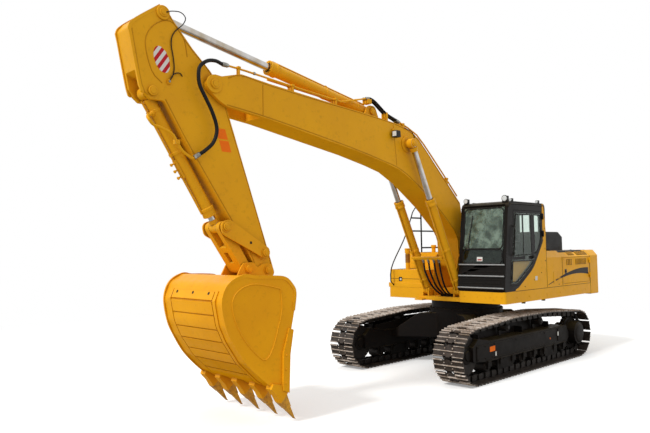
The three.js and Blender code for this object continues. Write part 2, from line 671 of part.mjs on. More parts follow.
function buildCabDoor() {
  const frame = plateXZ(doorSide(-runGap), cab.left - 40, cab.left);
  const holes = [upperWindow(0), lowerWindow(0)].map((side) => plateXZ(side, cab.left - 60, cab.left + 10));
  const handle = block([-160, -50], [cab.left - 5, cab.left + 35], [2120, 2150]);
  return cut(join(frame, handle, hingeKnuckles(cabDoorHinge)), holes, hingeBores(cabDoorHinge));
}

/** Seat stand with the two consoles and their levers. */
function buildSeatStand() {
  const floor = cab.floorZ + cab.wall + gap;
  const stand = block([-200, 250], [850, 1160], [floor, 1800 - gap]);
  const arm = block([-180, 300], [-70, 70], [1960, 2060]);
  const leg = block([-120, 60], [-40, 40], [1700, 1970]);
  const lever = bar([240, 0, 2050], [270, 0, 2230], 22, 8);
  const tie = block([-120, 60], [680, 1330], [1700, 1780]);
  const consoles = [690, 1320].map((y) => join(arm, leg, lever).translate([0, y, 0]));
  return join(stand, tie, consoles);
}

/** One pane over both front openings, lying on the sloped face. */
function buildWindscreen() {
  const [low, high] = [lowerScreen.bottomZ - pane.lap, screen.topZ + pane.lap];
  const side = new THREE.Shape([[low, gap], [low, gap + pane.thick], [high, gap + pane.thick], [high, gap]].map(
    ([z, out]) => new THREE.Vector2(cabFrontX(z) + out, z)));
  return plateXZ(side, screen.right - pane.lap, screen.left + pane.lap);
}

piece('cab_shell', buildCabShell(), blackPaint);
piece('cab_fairing', buildFairing(), yellowPaint);
piece('cab_door', buildCabDoor(), blackPaint);
piece('door_glass', join(
  plateXZ(upperWindow(pane.lap), cab.left + gap, cab.left + gap + pane.thick),
  plateXZ(lowerWindow(pane.lap), cab.left + gap, cab.left + gap + pane.thick),
  block([100, 200], [cab.left + gap, cab.left + gap + pane.thick], [doorLowWindow.topZ, doorWindow.bottomZ])), windowGlass);
piece('windscreen', buildWindscreen(), windowGlass);
piece('right_glass', block(
  [rightWindows[0][0] - pane.lap, rightWindows[0][1] + pane.lap],
  [cab.right - gap - pane.thick, cab.right - gap],
  [rightWindows[0][2] - pane.lap, rightWindows[0][3] + pane.lap]), windowGlass);
piece('rear_glass', block(
  [cab.rear - gap - pane.thick, cab.rear - gap],
  [rearWindows[0][0] - pane.lap, rearWindows[1][1] + pane.lap],
  [rearWindows[0][2] - pane.lap, rearWindows[0][3] + pane.lap]), windowGlass);
piece('seat', join(
  block([-250, 300], [780, 1230], [1800, 1930]),
  block([-330, -230], [780, 1230], [1850, 2600])), seatCloth);
piece('seat_stand', buildSeatStand(), darkSteel);

// ---------------------------------------------------------------- boom
const boomFork = { rear: 5560, inner: armHalfWidth + runGap };
const boomPipes = { radius: 15, heights: 75, places: [212, 155] };

/** Steel pipes along the boom's top, in two stretches, each on a stand. */
function buildBoomPipes() {
  // columns: x, z of the boom's top plate under the pipes
  const front = [[6180, 4905], [5890, 4890], [5400, 4848], [4367, 4772], [3760, 4745], [3440, 4850], [3240, 4890]];
  const rear = [[2380, 4630], [1954, 4500], [1800, 4420], [1153, 3880], [560, 3350]];
  const pieces = [];
  boomPipes.places.forEach((y, i) => {
    // the inner pipe ends behind the fork, where the arm's head comes over
    pieces.push(tube(front.slice(2 * i).map(([x, z]) => [x, y, z + boomPipes.heights]), boomPipes.radius, 9, 6));
    pieces.push(tube(rear.map(([x, z]) => [x - 20, y, z + 40]), boomPipes.radius, 8, 6));
  });
  // columns: x, z of each stand's foot, its inner side
  [[5980, 4880, 190], [4950, 4800, 120], [4000, 4735, 120]].forEach(([x, z, y]) => {
    pieces.push(block([x - 15, x + 15], [y, 240], [z - 30, z + 110]));
  });
  [[2250, 4560], [900, 3640]].forEach(([x, z]) => {
    pieces.push(block([x - 20, x + 20], [120, 240], [z - 40, z + 70]));
  });
  return join(pieces);
}

function buildBoom() {
  const side = outline([
    [6549, 4674, 135], [6416, 4804, 60], [6290, 4794, 60], [5957, 4888, 200], [5422, 4836, 300],
    [4367, 4759], [3297, 4691], [2364, 4609, 300], [1834, 4421, 250], [491, 3248, 60],
    [290, 2150, 150], [boomFoot.x - 60, boomFoot.z - 160, 120],
    [boomFoot.x + 110, boomFoot.z - 130, 120], [610, 2530, 60], [735, 2697], [1323, 3161],
    [2000, 3588, 300], [2413, 3780, 250], [2814, 3875, 250], [3478, 4003, 300], [4236, 4126, 400],
    [5430, 4300], [6207, 4385, 60], [6335, 4445, 60], [6545, 4600, 100],
  ]);
  const whole = plateXZ(side, -boomHalfWidth, boomHalfWidth);
  // the arm swings between the two plates of the fork
  const forkRoom = block([boomFork.rear, 6900], [-boomFork.inner, boomFork.inner], [4000, 5200]);
  const clevis = plateXZ(outline([
    [armCylinderBase.x - 240, 4560], [armCylinderBase.x + 260, 4560],
    [armCylinderBase.x + 90, armCylinderBase.z + 100, 90], [armCylinderBase.x - 90, armCylinderBase.z + 100, 90],
  ]), armCylinder.half + runGap, armCylinder.half + runGap + 35);
  const basePin = pin(armCylinderBase, -armCylinder.half - 60, armCylinder.half + 60, armCylinder.pin);
  const head = join(
    pin(boomPin, boomHalfWidth - 5, boomHalfWidth + 20, 120, roundSides),
    pin(boomPin, boomHalfWidth, boomCylinderY - boomCylinder.half - runGap, 70, smallSides));
  const tipPin = join(
    pin(boomTip, -boomHalfWidth - 25, boomHalfWidth + 25, mainPin),
    pin(boomTip, boomHalfWidth - 5, boomHalfWidth + 12, 105, roundSides),
    pin(boomTip, -boomHalfWidth - 12, -boomHalfWidth + 5, 105, roundSides));
  const footHole = pin(boomFoot, -400, 400, mainPin + boreGap);
  const body = join(cut(whole, forkRoom), clevis, otherSide(clevis), basePin, head, otherSide(head), tipPin);
  return cut(join(body, buildBoomPipes()), footHole);
}
piece('boom', buildBoom(), yellowPaint);

// ---------------------------------------------------------------- arm
function buildArm() {
  const side = outline([
    [7124, 5585, 40], [7193, 5600, 40], [7561, 5321, 60], [7643, 5205, 60], [7623, 5095],
    [7493, 4479, 60], [7424, 4388, 60], [7350, 4326, 30], [7147, 4330, 60], [6843, 3843], [6586, 3469],
    [6118, 2792, 200], [5830, 2377, 150], [5701, 2144, 60], [bucketPivot.x + 60, bucketPivot.z - 110, 80],
    [bucketPivot.x - 70, bucketPivot.z - 120, 80], [5308, 2002, 80], [5689, 3093, 400],
    [6104, 4222], [6179, 4433, 300], [6410, 4838, 200], [6717, 5115], [7010, 5432],
  ]);
  const whole = plateXZ(side, -armHalfWidth, armHalfWidth);
  const boss = pin(boomTip, -armHalfWidth, armHalfWidth, 142, roundSides);
  // the rod's eye sweeps this slot between the head's two plates as the arm swings; places from the eye
  const headRoom = plateXZ(outline([
    [-560, -150], [-380, -330], [-300, -398, 60], [-110, -398, 60], [10, -255], [80, -142], [300, -142],
    [300, 300], [-560, 300],
  ].map(([x, z, radius]) => [armHead.x + x, armHead.z + z, radius])), -armCylinder.half - 25, armCylinder.half + 25);
  // the bucket cylinder's base lies between the same plates; places from its eye
  const cylinderRoom = plateXZ(outline([
    [-480, -560], [-200, -70], [-130, 160, 60], [130, 200, 60], [480, 400], [480, -560],
  ].map(([x, z, radius]) => [bucketCylinderBase.x + x, bucketCylinderBase.z + z, radius])),
  -bucketCylinder.headRadius - 20, bucketCylinder.headRadius + 20);
  const tipHole = pin(boomTip, -300, 300, mainPin + boreGap);
  const rockerBoss = pin(rockerPivot, -armHalfWidth - 10, armHalfWidth + 10, 90, roundSides);
  const rockerHole = pin(rockerPivot, -300, 300, linkPin + boreGap);
  const footHole = pin(bucketPivot, -300, 300, linkPin + boreGap);
  const base = pin(bucketCylinderBase, -armHalfWidth - 20, armHalfWidth + 20, bucketCylinder.pin);
  const body = cut(join(whole, boss), headRoom, cylinderRoom);
  return cut(join(body, rockerBoss, base), tipHole, rockerHole, footHole);
}
piece('arm', buildArm(), yellowPaint);

// ---------------------------------------------------------------- bucket
const plateOfBucket = 30;
const flare = { widest: 1548, slope: 0.124 };       // half width = widest - slope * x
const toothPlaces = [-820, -410, 0, 410, 820];

/** Widens a shell toward its mouth. */
function flared(body) {
  return body.warp((corner) => {
    corner[1] *= (flare.widest - flare.slope * corner[0]) / bucketHalf;
  });
}

function buildBucket() {
  const shell = outline([
    [5654, 988], [5609, 1180], [5533, 1535], [5499, 1767, 60], [5560, 1890, 60], [5680, 1985, 80],
    [6150, 2010, 100], [6318, 2034, 120], [6543, 1928, 150], [6648, 1700, 200], [6585, 1382, 300], [6482, 1166, 300],
    [6279, 869, 300], [5972, 584, 200], [5745, 450], [5663, 420], [5652, 445],
  ]);
  const t = plateOfBucket;
  const outer = plateXZ(shell, -bucketHalf, bucketHalf);
  const inner = plateXZ(outline([
    [5350, 1600], [5460, 1740], [5600, 1875, 60], [5695, 1985 - t, 80], [6145, 2010 - t, 100], [6310, 2034 - t, 120], [6520, 1910, 150],
    [6648 - t, 1700, 200], [6555, 1392, 300], [6454, 1180, 300], [6255, 890, 300], [5958, 610, 200],
    [5735, 485], [5350, 380],
  ]), -bucketHalf + t, bucketHalf - t);
  const notch = pin(bucketPivot, -armHalfWidth - runGap - 4, armHalfWidth + runGap + 4, 200, roundSides);
  const pieces = [cut(flared(cut(outer, inner)), notch)];
  const earAt = armHalfWidth + runGap;
  const ear = plateXZ(outline([
    [bucketPivot.x + 40, bucketPivot.z - 300], [bucketPivot.x - 110, bucketPivot.z - 60, 100],
    [bucketPivot.x - 95, bucketPivot.z + 95, 100], [bucketPivot.x + 95, bucketPivot.z + 95, 100],
    [bucketPivot.x + 190, bucketPivot.z + 30, 60],
    [bucketLink.x - 90, bucketLink.z + 90, 90], [bucketLink.x + 90, bucketLink.z + 90, 90],
    [bucketLink.x + 200, 2000], [bucketLink.x - 100, 1960],
  ]), earAt, earAt + earThick);
  const pinA = pin(bucketPivot, -1, earAt + earThick + 18, linkPin);
  const pinB = pin(bucketLink, earAt + 1, earAt + earThick + 18, linkPin);
  const bossA = pin(bucketPivot, earAt + earThick - 1, earAt + earThick + 10, 75, roundSides);
  const bossB = pin(bucketLink, earAt + earThick - 1, earAt + earThick + 10, 70, roundSides);
  const cutter = plateXZ(outline([
    [5560, 1260], [5625, 935], [5650, 415], [5760, 462], [5745, 960], [5640, 1290],
  ]), flare.widest - flare.slope * 5650 - plateOfBucket, flare.widest - flare.slope * 5650 + 25);
  const half = join(ear, pinA, pinB, bossA, bossB, cutter);
  pieces.push(half, otherSide(half));
  const adapter = plateXZ(outline([
    [5951, 500], [5850, 390], [5793, 295, 20], [5690, 200], [5605, 225], [5680, 395], [5630, 470], [5720, 520], [5920, 570],
  ]), -62, 62);
  const tip = plateXZ(outline([
    [5775, 290], [5516, 32], [5488, 25], [5513, 49], [5578, 171], [5656, 312],
  ]), -48, 48);
  toothPlaces.forEach((y) => {
    const reach = Math.sign(y) * 28 * (Math.abs(y) > 800);
    pieces.push(join(adapter, tip).translate([0, y - reach, 0]));
  });
  return join(pieces);
}
piece('bucket', buildBucket(), yellowPaint);

// ---------------------------------------------------------------- bucket links
function buildRocker() {
  const y0 = armHalfWidth + 36;
  const plate = plateXZ(outline([
    [rockerPivot.x - 80, rockerPivot.z + 60, 70], [upperLink.x - 60, upperLink.z + 105, 95],
    [upperLink.x + 100, upperLink.z + 60, 95], [upperLink.x + 60, upperLink.z - 105, 95],
    [5800, 2360, 300], [rockerPivot.x + 30, rockerPivot.z - 80, 70], [rockerPivot.x - 80, rockerPivot.z - 60, 70],
  ]), y0, y0 + rockerThick);
  const stub = pin(upperLink, linkHalf - linkEar, y0 + rockerThick + 20, linkPin);
  const through = pin(rockerPivot, -1, y0 + rockerThick + 20, linkPin);
  const bosses = [upperLink, rockerPivot].map((at) => pin(at, y0 + rockerThick - 1, y0 + rockerThick + 10, 78, roundSides));
  const half = join(plate, stub, through, bosses);
  return join(half, otherSide(half));
}

/** Link from the rocker's end to the bucket, as a box with two ears round the rod's eye. */
function buildBucketLink() {
  const length = Math.hypot(upperLink.x - bucketLink.x, upperLink.z - bucketLink.z);
  const side = outline([
    [-75, -85, 75], [length + 66, -68, 66], [length + 66, 68, 66], [-75, 85, 75],
  ]);
  const box = plateXZ(side, -linkHalf, linkHalf);
  const rodRoom = block([-200, 300], [linkEar - linkHalf, linkHalf - linkEar], [-200, 200]);
  const stubHole = bar([0, -400, 0], [0, 400, 0], linkPin + boreGap, pinSides);
  const slot = block([length - 330, length - 150], [-45, 45], [-200, 200]);
  return aimed(cut(box, rodRoom, stubHole, slot), upperLink, bucketLink);
}
piece('rocker', buildRocker(), yellowPaint);
piece('bucket_link', buildBucketLink(), yellowPaint);

// ---------------------------------------------------------------- cylinders
/** Barrel drawn along +X with its base eye at the origin. */
function barrel(size) {
  const tube = bar([0.94 * size.eye, 0, 0], [size.barrel, 0, 0], size.radius, roundSides);
  const head = bar([size.barrel - size.head, 0, 0], [size.barrel, 0, 0], size.headRadius, roundSides);
  const eye = cut(
    join(bar([0, -size.half, 0], [0, size.half, 0], size.eye, roundSides),
      bar([0, 0, 0], [size.eye + 20, 0, 0], Math.min(size.half, size.eye) * 0.8)),
    bar([0, -size.half - 1, 0], [0, size.half + 1, 0], size.pin + boreGap, pinSides));
  const bore = bar([size.eye + 40, 0, 0], [size.barrel + 1, 0, 0], size.rod + rodGap, roundSides);
  return cut(join(tube, head, eye), bore);
}

/** Rod drawn along +X, with its eye at the given distance from the barrel's base eye. */
function rod(size, span) {
  const shaft = bar([span - size.rodLength, 0, 0], [span - 20, 0, 0], size.rod, roundSides);
  const eye = bar([span, -size.half, 0], [span, size.half, 0], size.rodEye, roundSides);
  return join(shaft, eye);
}

function span(a, b) {
  return Math.hypot(b.x - a.x, b.z - a.z);
}

const hoseBar = { along: 790, out: 125, half: 20 };   // bar across the boom cylinders that holds their hoses

/** Bar across the front of both boom cylinders, on a strap round the right one. */
function buildHoseBar() {
  const reach = boomCylinderY - boomCylinder.radius + 40;
  const rail = block(
    [hoseBar.along - 25, hoseBar.along + 25], [-boomCylinderY, reach], [-hoseBar.out - hoseBar.half, -hoseBar.out + hoseBar.half]);
  const strap = bar([hoseBar.along - 25, -boomCylinderY, 0], [hoseBar.along + 25, -boomCylinderY, 0],
    boomCylinder.radius + 14, roundSides);
  const neck = block([hoseBar.along - 25, hoseBar.along + 25], [-boomCylinderY - 30, -boomCylinderY + 30],
    [-hoseBar.out, -boomCylinder.radius + 5]);
  return join(rail, strap, neck);
}

const boomBarrel = barrel(boomCylinder);
const boomRod = rod(boomCylinder, span(cylinderFoot, boomPin));
// columns: name, place across the machine
[['left', boomCylinderY], ['right', -boomCylinderY]].forEach(([side, y]) => {
  const bore = bar([boomCylinder.eye + 40, y, 0], [boomCylinder.barrel + 1, y, 0], boomCylinder.rod + rodGap, roundSides);
  const body = y > 0 ? boomBarrel.translate([0, y, 0]) : join(boomBarrel.translate([0, y, 0]), cut(buildHoseBar(), bore));
  piece(`boom_cylinder_${side}`, aimed(body, cylinderFoot, boomPin), yellowPaint);
  piece(`boom_rod_${side}`, aimed(boomRod.translate([0, y, 0]), cylinderFoot, boomPin), chrome);
});
piece('arm_cylinder', aimed(barrel(armCylinder), armCylinderBase, armHead), yellowPaint);
piece('arm_rod', aimed(rod(armCylinder, span(armCylinderBase, armHead)), armCylinderBase, armHead), chrome);
piece('bucket_cylinder', aimed(barrel(bucketCylinder), bucketCylinderBase, upperLink), yellowPaint);
piece('bucket_rod', aimed(rod(bucketCylinder, span(bucketCylinderBase, upperLink)), bucketCylinderBase, upperLink), chrome);

// ---------------------------------------------------------------- hoses
/** Hoses from the deck up to the bar on the boom cylinders, on one foot block. */
function buildCylinderHoses() {
  const foot = block([700, 800], [-60, 250], [deck.lowZ + gap, deck.lowZ + 45]);
  // columns: place across at the bar, place across at the foot
  const hoses = [[-140, -25], [-20, 60], [110, 140], [230, 222]].map(([high, low]) => tube([
    [1253.5, high, 2127], [1227, high, 2074], [1180, high, 1880], [1070, (high + low) / 2, 1620],
    [920, low, 1460], [800, low, 1412], [720, low, 1410],
  ], 17, 9, 6));
  return join(foot, hoses);
}

/** Hoses from the arm cylinder's base back to the pipes on the boom, on one stand. */
function buildBoomHoses() {
  const stand = block([2690, 2730], [120, 235], [4641.2 + gap, 4790]);
  const hoses = boomPipes.places.map((y) => tube([
    [3238.4, y, 4965.4], [3130, y, 4980], [2980, y, 4930], [2710, y, 4775], [2480, y, 4706], [2360.6, y, 4670.2],
  ], 20, 9, 8));
  return join(stand, hoses);
}

/** Hose hanging in an S from the boom's pipes to the bucket cylinder's port. */
function buildArmHose() {
  return tube([
    [6181, 212, 4980], [6260, 212, 4982], [6400, 262, 4988], [6560, 300, 4948], [6680, 305, 4850], [6706, 305, 4719],
    [6683, 305, 4583], [6592, 305, 4427], [6499, 305, 4271], [6428, 305, 4097], [6420, 303, 3967],
    [6478, 300, 3830], [6600, 290, 3715], [6730, 250, 3620],
  ], 25, 24, 6);
}

piece('cylinder_hoses', buildCylinderHoses(), rubber);
piece('boom_hoses', buildBoomHoses(), rubber);
piece('arm_hose', buildArmHose(), rubber);

// ---------------------------------------------------------------- origin
const reachBox = new THREE.Box3().setFromObject(machine);
machine.position.x = -(reachBox.min.x + reachBox.max.x) / 2;

export default machine;
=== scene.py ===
import json
import logging
import math
from dataclasses import dataclass
from enum import Enum
from functools import cache
from typing import Sequence

import bmesh
import bpy
from mathutils import Matrix, Vector, noise


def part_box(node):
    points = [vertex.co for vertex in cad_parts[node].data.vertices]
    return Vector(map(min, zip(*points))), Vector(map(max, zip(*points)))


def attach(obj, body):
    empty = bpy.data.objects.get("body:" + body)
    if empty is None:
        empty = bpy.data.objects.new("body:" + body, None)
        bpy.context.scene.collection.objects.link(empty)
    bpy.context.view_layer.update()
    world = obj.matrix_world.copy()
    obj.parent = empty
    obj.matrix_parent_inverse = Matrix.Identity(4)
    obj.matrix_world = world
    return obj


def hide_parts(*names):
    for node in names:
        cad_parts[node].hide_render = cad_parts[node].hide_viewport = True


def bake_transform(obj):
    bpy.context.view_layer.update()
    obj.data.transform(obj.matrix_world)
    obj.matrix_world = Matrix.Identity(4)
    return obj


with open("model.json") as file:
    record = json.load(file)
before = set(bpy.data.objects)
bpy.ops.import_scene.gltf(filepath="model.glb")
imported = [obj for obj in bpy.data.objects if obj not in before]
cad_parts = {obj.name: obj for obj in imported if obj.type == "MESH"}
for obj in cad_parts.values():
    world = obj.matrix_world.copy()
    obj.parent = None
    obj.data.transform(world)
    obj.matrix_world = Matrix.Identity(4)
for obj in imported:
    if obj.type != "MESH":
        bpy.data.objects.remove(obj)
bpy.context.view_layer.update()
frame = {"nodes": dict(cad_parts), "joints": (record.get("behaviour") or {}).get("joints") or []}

log = logging.getLogger("excavator")

MM = 0.001
# the swing axis, about which every place below is given in millimetres
SWING_X = next(j["pos_m"][0] for j in frame["joints"] if j["name"] == "swing")
# middle of a track, across the machine
TRACK_Y = 1240.0
Flat = tuple[float, float]
Spot = tuple[float, float, float]
Socket = bpy.types.NodeSocket
UP: Spot = (0, 0, 1)
AHEAD: Spot = (1, 0, 0)


class Slot(str, Enum):
    """Material slots of the record."""

    YELLOW = "yellow_paint"
    BLACK = "black_paint"
    TRACK = "track_steel"
    DARK = "dark_steel"
    CHROME = "chrome"
    GLASS = "glass"
    RUBBER = "rubber"
    SEAT = "seat_fabric"


def at(spot: Spot) -> Vector:
    """Turn a place about the swing axis in millimetres into the row frame in metres."""
    return Vector((spot[0] * MM + SWING_X, spot[1] * MM, spot[2] * MM))


def span(a: float, b: float) -> Flat:
    """Range between two places, lowest first."""
    return min(a, b), max(a, b)


def side_line(line: Sequence[Flat], y: float) -> list[Spot]:
    """Side line (x, z) laid at one place across the machine."""
    return [(x, y, z) for x, z in line]


def placed(name: str, data: bpy.types.ID) -> bpy.types.Object:
    """Put an object with this data in the scene.

    Args:
        name: Name of the object.
        data: Its mesh, camera or light.

    Returns:
        The new object.
    """
    made = bpy.data.objects.new(name, data)
    bpy.context.scene.collection.objects.link(made)
    return made


# ---------------------------------------------------------------- finishes
def linear(hex_colour: str) -> tuple[float, float, float, float]:
    """Turn an sRGB hex colour into linear light.

    Args:
        hex_colour: Six hex digits, such as "C8922B".

    Returns:
        Linear red, green, blue and an alpha of one.
    """
    parts = [int(hex_colour[i:i + 2], 16) / 255 for i in (0, 2, 4)]
    return tuple(p / 12.92 if p <= 0.04045 else ((p + 0.055) / 1.055) ** 2.4 for p in parts) + (1.0,)


def add_node(tree: bpy.types.NodeTree, kind: str, links: dict | None = None, out: int | str = 0,
             **settings: object) -> Socket:
    """Add a node to a tree, with its settings and what feeds it.

    Args:
        tree: Node tree of the material.
        kind: Blender's name of the node type, without its ShaderNode.
        links: Input name or number to an output socket, a hex colour or a constant value.
        out: Name or number of the output to give back.
        settings: Properties of the node itself.

    Returns:
        The chosen output of the new node.
    """
    made = tree.nodes.new("ShaderNode" + kind)
    for key, value in settings.items():
        setattr(made, key, value)
    for key, value in (links or {}).items():
        if isinstance(value, Socket):
            tree.links.new(value, made.inputs[key])
        else:
            made.inputs[key].default_value = linear(value) if isinstance(value, str) else value
    return made.outputs[out]


class Shade:
    """One material being made: its tree, its shader and the patterns it draws from."""

    def __init__(self, name: str) -> None:
        """Start a material whose patterns follow the piece's own place, in metres.

        Args:
            name: Name of the material.
        """
        self.material = bpy.data.materials.new(name)
        self.material.use_nodes = True
        self.tree = self.material.node_tree
        self.shader = self.tree.nodes["Principled BSDF"]
        self.place = add_node(self.tree, "TexCoord", out="Object")

    def set(self, **values: object) -> None:
        """Set or link sockets of the shader; underscores stand for spaces."""
        for key, value in values.items():
            socket = self.shader.inputs[key.replace("_", " ")]
            if isinstance(value, Socket):
                self.tree.links.new(value, socket)
            else:
                socket.default_value = value

    def patches(self, size: float, low: float, high: float, least: float = 0.0, most: float = 1.0,
                detail: float = 5.0) -> Socket:
        """Soft-edged patches, as of fading, dust or rub.

        Args:
            size: Size of a patch in millimetres.
            low: Noise at which the patch begins.
            high: Noise at which it is full.
            least: Value outside the patches.
            most: Value inside the patches.
            detail: Octaves of finer noise along their edges.

        Returns:
            The value over the surface.
        """
        clumps = add_node(self.tree, "TexNoise", {
            "Vector": self.place, "Scale": 1 / (size * MM), "Detail": detail, "Roughness": 0.6})
        return add_node(self.tree, "MapRange", {
            "Value": clumps, "From Min": low, "From Max": high, "To Min": least, "To Max": most})

    def layered(self, base: str | Socket, *coats: tuple) -> Socket:
        """Colour of a base under coats, each given as its cover from 0 to 1 and its hex colour.

        Args:
            base: Colour under the coats.
            coats: Cover from 0 to 1 and hex colour of each coat, from the lowest up.

        Returns:
            The colour over the surface.
        """
        for cover, tone in coats:
            base = add_node(self.tree, "Mix", {0: cover, 6: base, 7: tone}, 2, data_type="RGBA")
        return base

    def facing_up(self, low: float, high: float, most: float = 1.0) -> Socket:
        """Value that grows as the surface turns up.

        Args:
            low: Upward part of the normal, from -1 to 1, at which it is nothing.
            high: Upward part at which it is full.
            most: Full value.

        Returns:
            The value over the surface.
        """
        normal = add_node(self.tree, "NewGeometry", out="Normal")
        height = add_node(self.tree, "SeparateXYZ", {0: normal}, "Z")
        return add_node(self.tree, "MapRange", {"Value": height, "From Min": low, "From Max": high, "To Max": most})

    def dusted(self, cover: Socket) -> Socket:
        """A cover kept only where the surface faces up."""
        return add_node(self.tree, "Math", {0: cover, 1: self.facing_up(0.2, 0.95)}, operation="MULTIPLY")

    def dimmed_below(self, most: float) -> Socket:
        """A specular level that falls to nothing where the surface faces down, so that undersides lose their
        reflection of the floor and read darker: painted shade.
        """
        return self.facing_up(-0.75, -0.3, most)

    def crease_shade(self, reach: float, most: float) -> Socket:
        """Painted shade in corners and under lugs, drawn from ambient occlusion.

        Args:
            reach: Width of the painted shade along an edge, in millimetres.
            most: Cover in a deep corner.

        Returns:
            The cover over the surface.
        """
        open_share = add_node(self.tree, "AmbientOcclusion", {"Distance": reach * MM}, "AO", samples=4)
        return add_node(self.tree, "MapRange", {
            "Value": open_share, "From Min": 0.85, "From Max": 0.35, "To Max": most})

    def relief(self, size: float, depth: float, strength: float, detail: float = 2.0) -> None:
        """Bump the surface with clumps.

        Args:
            size: Size of a clump in millimetres.
            depth: Height of a clump in millimetres.
            strength: Share of the bump that shows.
            detail: Octaves of finer noise.
        """
        clumps = add_node(self.tree, "TexNoise", {
            "Vector": self.place, "Scale": 1 / (size * MM), "Detail": detail, "Roughness": 0.6})
        self.set(Normal=add_node(self.tree, "Bump", {
            "Height": clumps, "Distance": depth * MM, "Strength": strength}))


@dataclass(frozen=True)
class Enamel:
    """Alkyd enamel sprayed over primed steel plate.

    It gives a soft gloss with a fine orange peel, a slow drift of tone over big plates, a little dust
    on what faces up, painted shade in the corners, and no gloss on what faces down, which darkens
    undersides as painted shade.
    """

    name: str
    base: str
    faded: str
    # colour of random grime, and of the painted shade in corners
    grime_and_shade: str
    rough: float
    dust: float = 0.5
    peel: float = 14.0      # orange peel is 2 to 4 mm across, drawn coarser so that it shows

    def build(self) -> bpy.types.Material:
        """Make the Blender material.

        Returns:
            The material.
        """
        shade = Shade(self.name)
        shade.set(
            Base_Color=shade.layered(
                self.base,
                (shade.patches(900, 0.35, 0.68), self.faded),
                (shade.patches(70, 0.56, 0.8, 0, 0.3, 6), self.grime_and_shade),
                (shade.dusted(shade.patches(260, 0.3, 0.7, 0.1, self.dust)), "BFA468"),
                # painted shade in corners and under lugs
                (shade.crease_shade(90, 0.55), self.grime_and_shade)),
            Roughness=shade.patches(180, 0.3, 0.7, self.rough - 0.07, self.rough + 0.12),
            # no gloss on faces that point down: painted shade on the undersides
            Specular_IOR_Level=shade.dimmed_below(0.1))
        shade.relief(self.peel, 0.5, 0.25)
        return shade.material


@dataclass(frozen=True)
class WornSteel:
    """Rolled or cast steel that has run in soil: brown where it rusts, bare and bright where it rubs, with painted
    shade in its corners.
    """

    name: str
    dark: str
    light: str
    rust: str
    rough: float
    metal: float
    grain: float = 22.0     # scale pits are 1 to 3 mm across, drawn coarser so that they show

    def build(self) -> bpy.types.Material:
        """Make the Blender material.

        Returns:
            The material.
        """
        shade = Shade(self.name)
        shade.set(
            Base_Color=shade.layered(
                self.dark,
                (shade.patches(120, 0.35, 0.65), self.light),
                (shade.patches(45, 0.5, 0.72, 0, 0.8, 6), self.rust),
                # near-black in corners and under lugs: painted shade
                (shade.crease_shade(60, 0.7), "17130F")),
            Metallic=self.metal,
            Roughness=shade.patches(60, 0.3, 0.7, self.rough - 0.12, self.rough + 0.15))
        shade.relief(self.grain, 1.2, 0.5, 5)
        return shade.material


@dataclass(frozen=True)
class Chrome:
    """Hard chrome on a ground rod: a sharp mirror with faint oily smears."""

    name: str = "hard_chrome"
    tint: str = "D2D2D4"
    smear: str = "A8997F"

    def build(self) -> bpy.types.Material:
        """Make the Blender material.

        Returns:
            The material.
        """
        shade = Shade(self.name)
        shade.set(
            Base_Color=shade.layered(self.tint, (shade.patches(300, 0.3, 0.7), self.smear)),
            Metallic=1.0, Roughness=shade.patches(150, 0.4, 0.7, 0.07, 0.18))
        shade.relief(9, 0.05, 0.2)
        return shade.material


@dataclass(frozen=True)
class Rubber:
    """Extruded or wrapped black rubber: matt, with shallow bands and a bloom of dust."""

    name: str
    base: str = "0B0B0C"
    wrap: float = 9.0       # the wrap's ribs are 2 mm apart, drawn coarser so that they show

    def build(self) -> bpy.types.Material:
        """Make the Blender material.

        Returns:
            The material.
        """
        shade = Shade(self.name)
        shade.set(
            Base_Color=shade.layered(self.base, (shade.patches(80, 0.4, 0.7, 0, 0.2), "3A3632")),
            Roughness=shade.patches(40, 0.3, 0.7, 0.42, 0.6), Specular_IOR_Level=0.2)
        shade.relief(self.wrap, 0.8, 0.4)
        return shade.material


@dataclass(frozen=True)
class Plastic:
    """Injection-moulded plastic with a fine grain from the mould and a little dirt."""

    name: str
    base: str
    rough: float = 0.5
    grain: float = 6.0      # the grain is 1 mm across, drawn coarser so that it shows

    def build(self) -> bpy.types.Material:
        """Make the Blender material.

        Returns:
            The material.
        """
        shade = Shade(self.name)
        shade.set(
            Base_Color=shade.layered(self.base, (shade.patches(60, 0.45, 0.75, 0, 0.3), "6B6257")),
            Roughness=shade.patches(90, 0.3, 0.7, self.rough - 0.06, self.rough + 0.08), Specular_IOR_Level=0.3)
        shade.relief(self.grain, 0.3, 0.3)
        return shade.material


@dataclass(frozen=True)
class Cloth:
    """Woven polyester seat cloth: matt, with a plain weave and a slight sheen on its crowns."""

    name: str
    base: str = "26262A"
    thread: float = 8.0     # threads are 1 mm apart, drawn coarser so that they show

    def build(self) -> bpy.types.Material:
        """Make the Blender material.

        Returns:
            The material.
        """
        shade = Shade(self.name)
        # a wave texture of scale 1 repeats every 0.314 m
        scale = 0.314 / (self.thread * MM)
        warp, weft = (add_node(shade.tree, "TexWave", {
            "Vector": shade.place, "Scale": scale, "Distortion": 0.3}, "Fac", bands_direction=way)
            for way in ("X", "Y"))
        weave = add_node(shade.tree, "Math", {0: warp, 1: weft}, operation="MULTIPLY")
        shade.set(
            Base_Color=shade.layered(self.base, (shade.patches(120, 0.3, 0.7), "3B3A3E"), (weave, "333237")),
            Roughness=0.92, Sheen_Weight=0.3,
            Normal=add_node(shade.tree, "Bump", {"Height": weave, "Distance": 0.6 * MM, "Strength": 0.5}))
        return shade.material


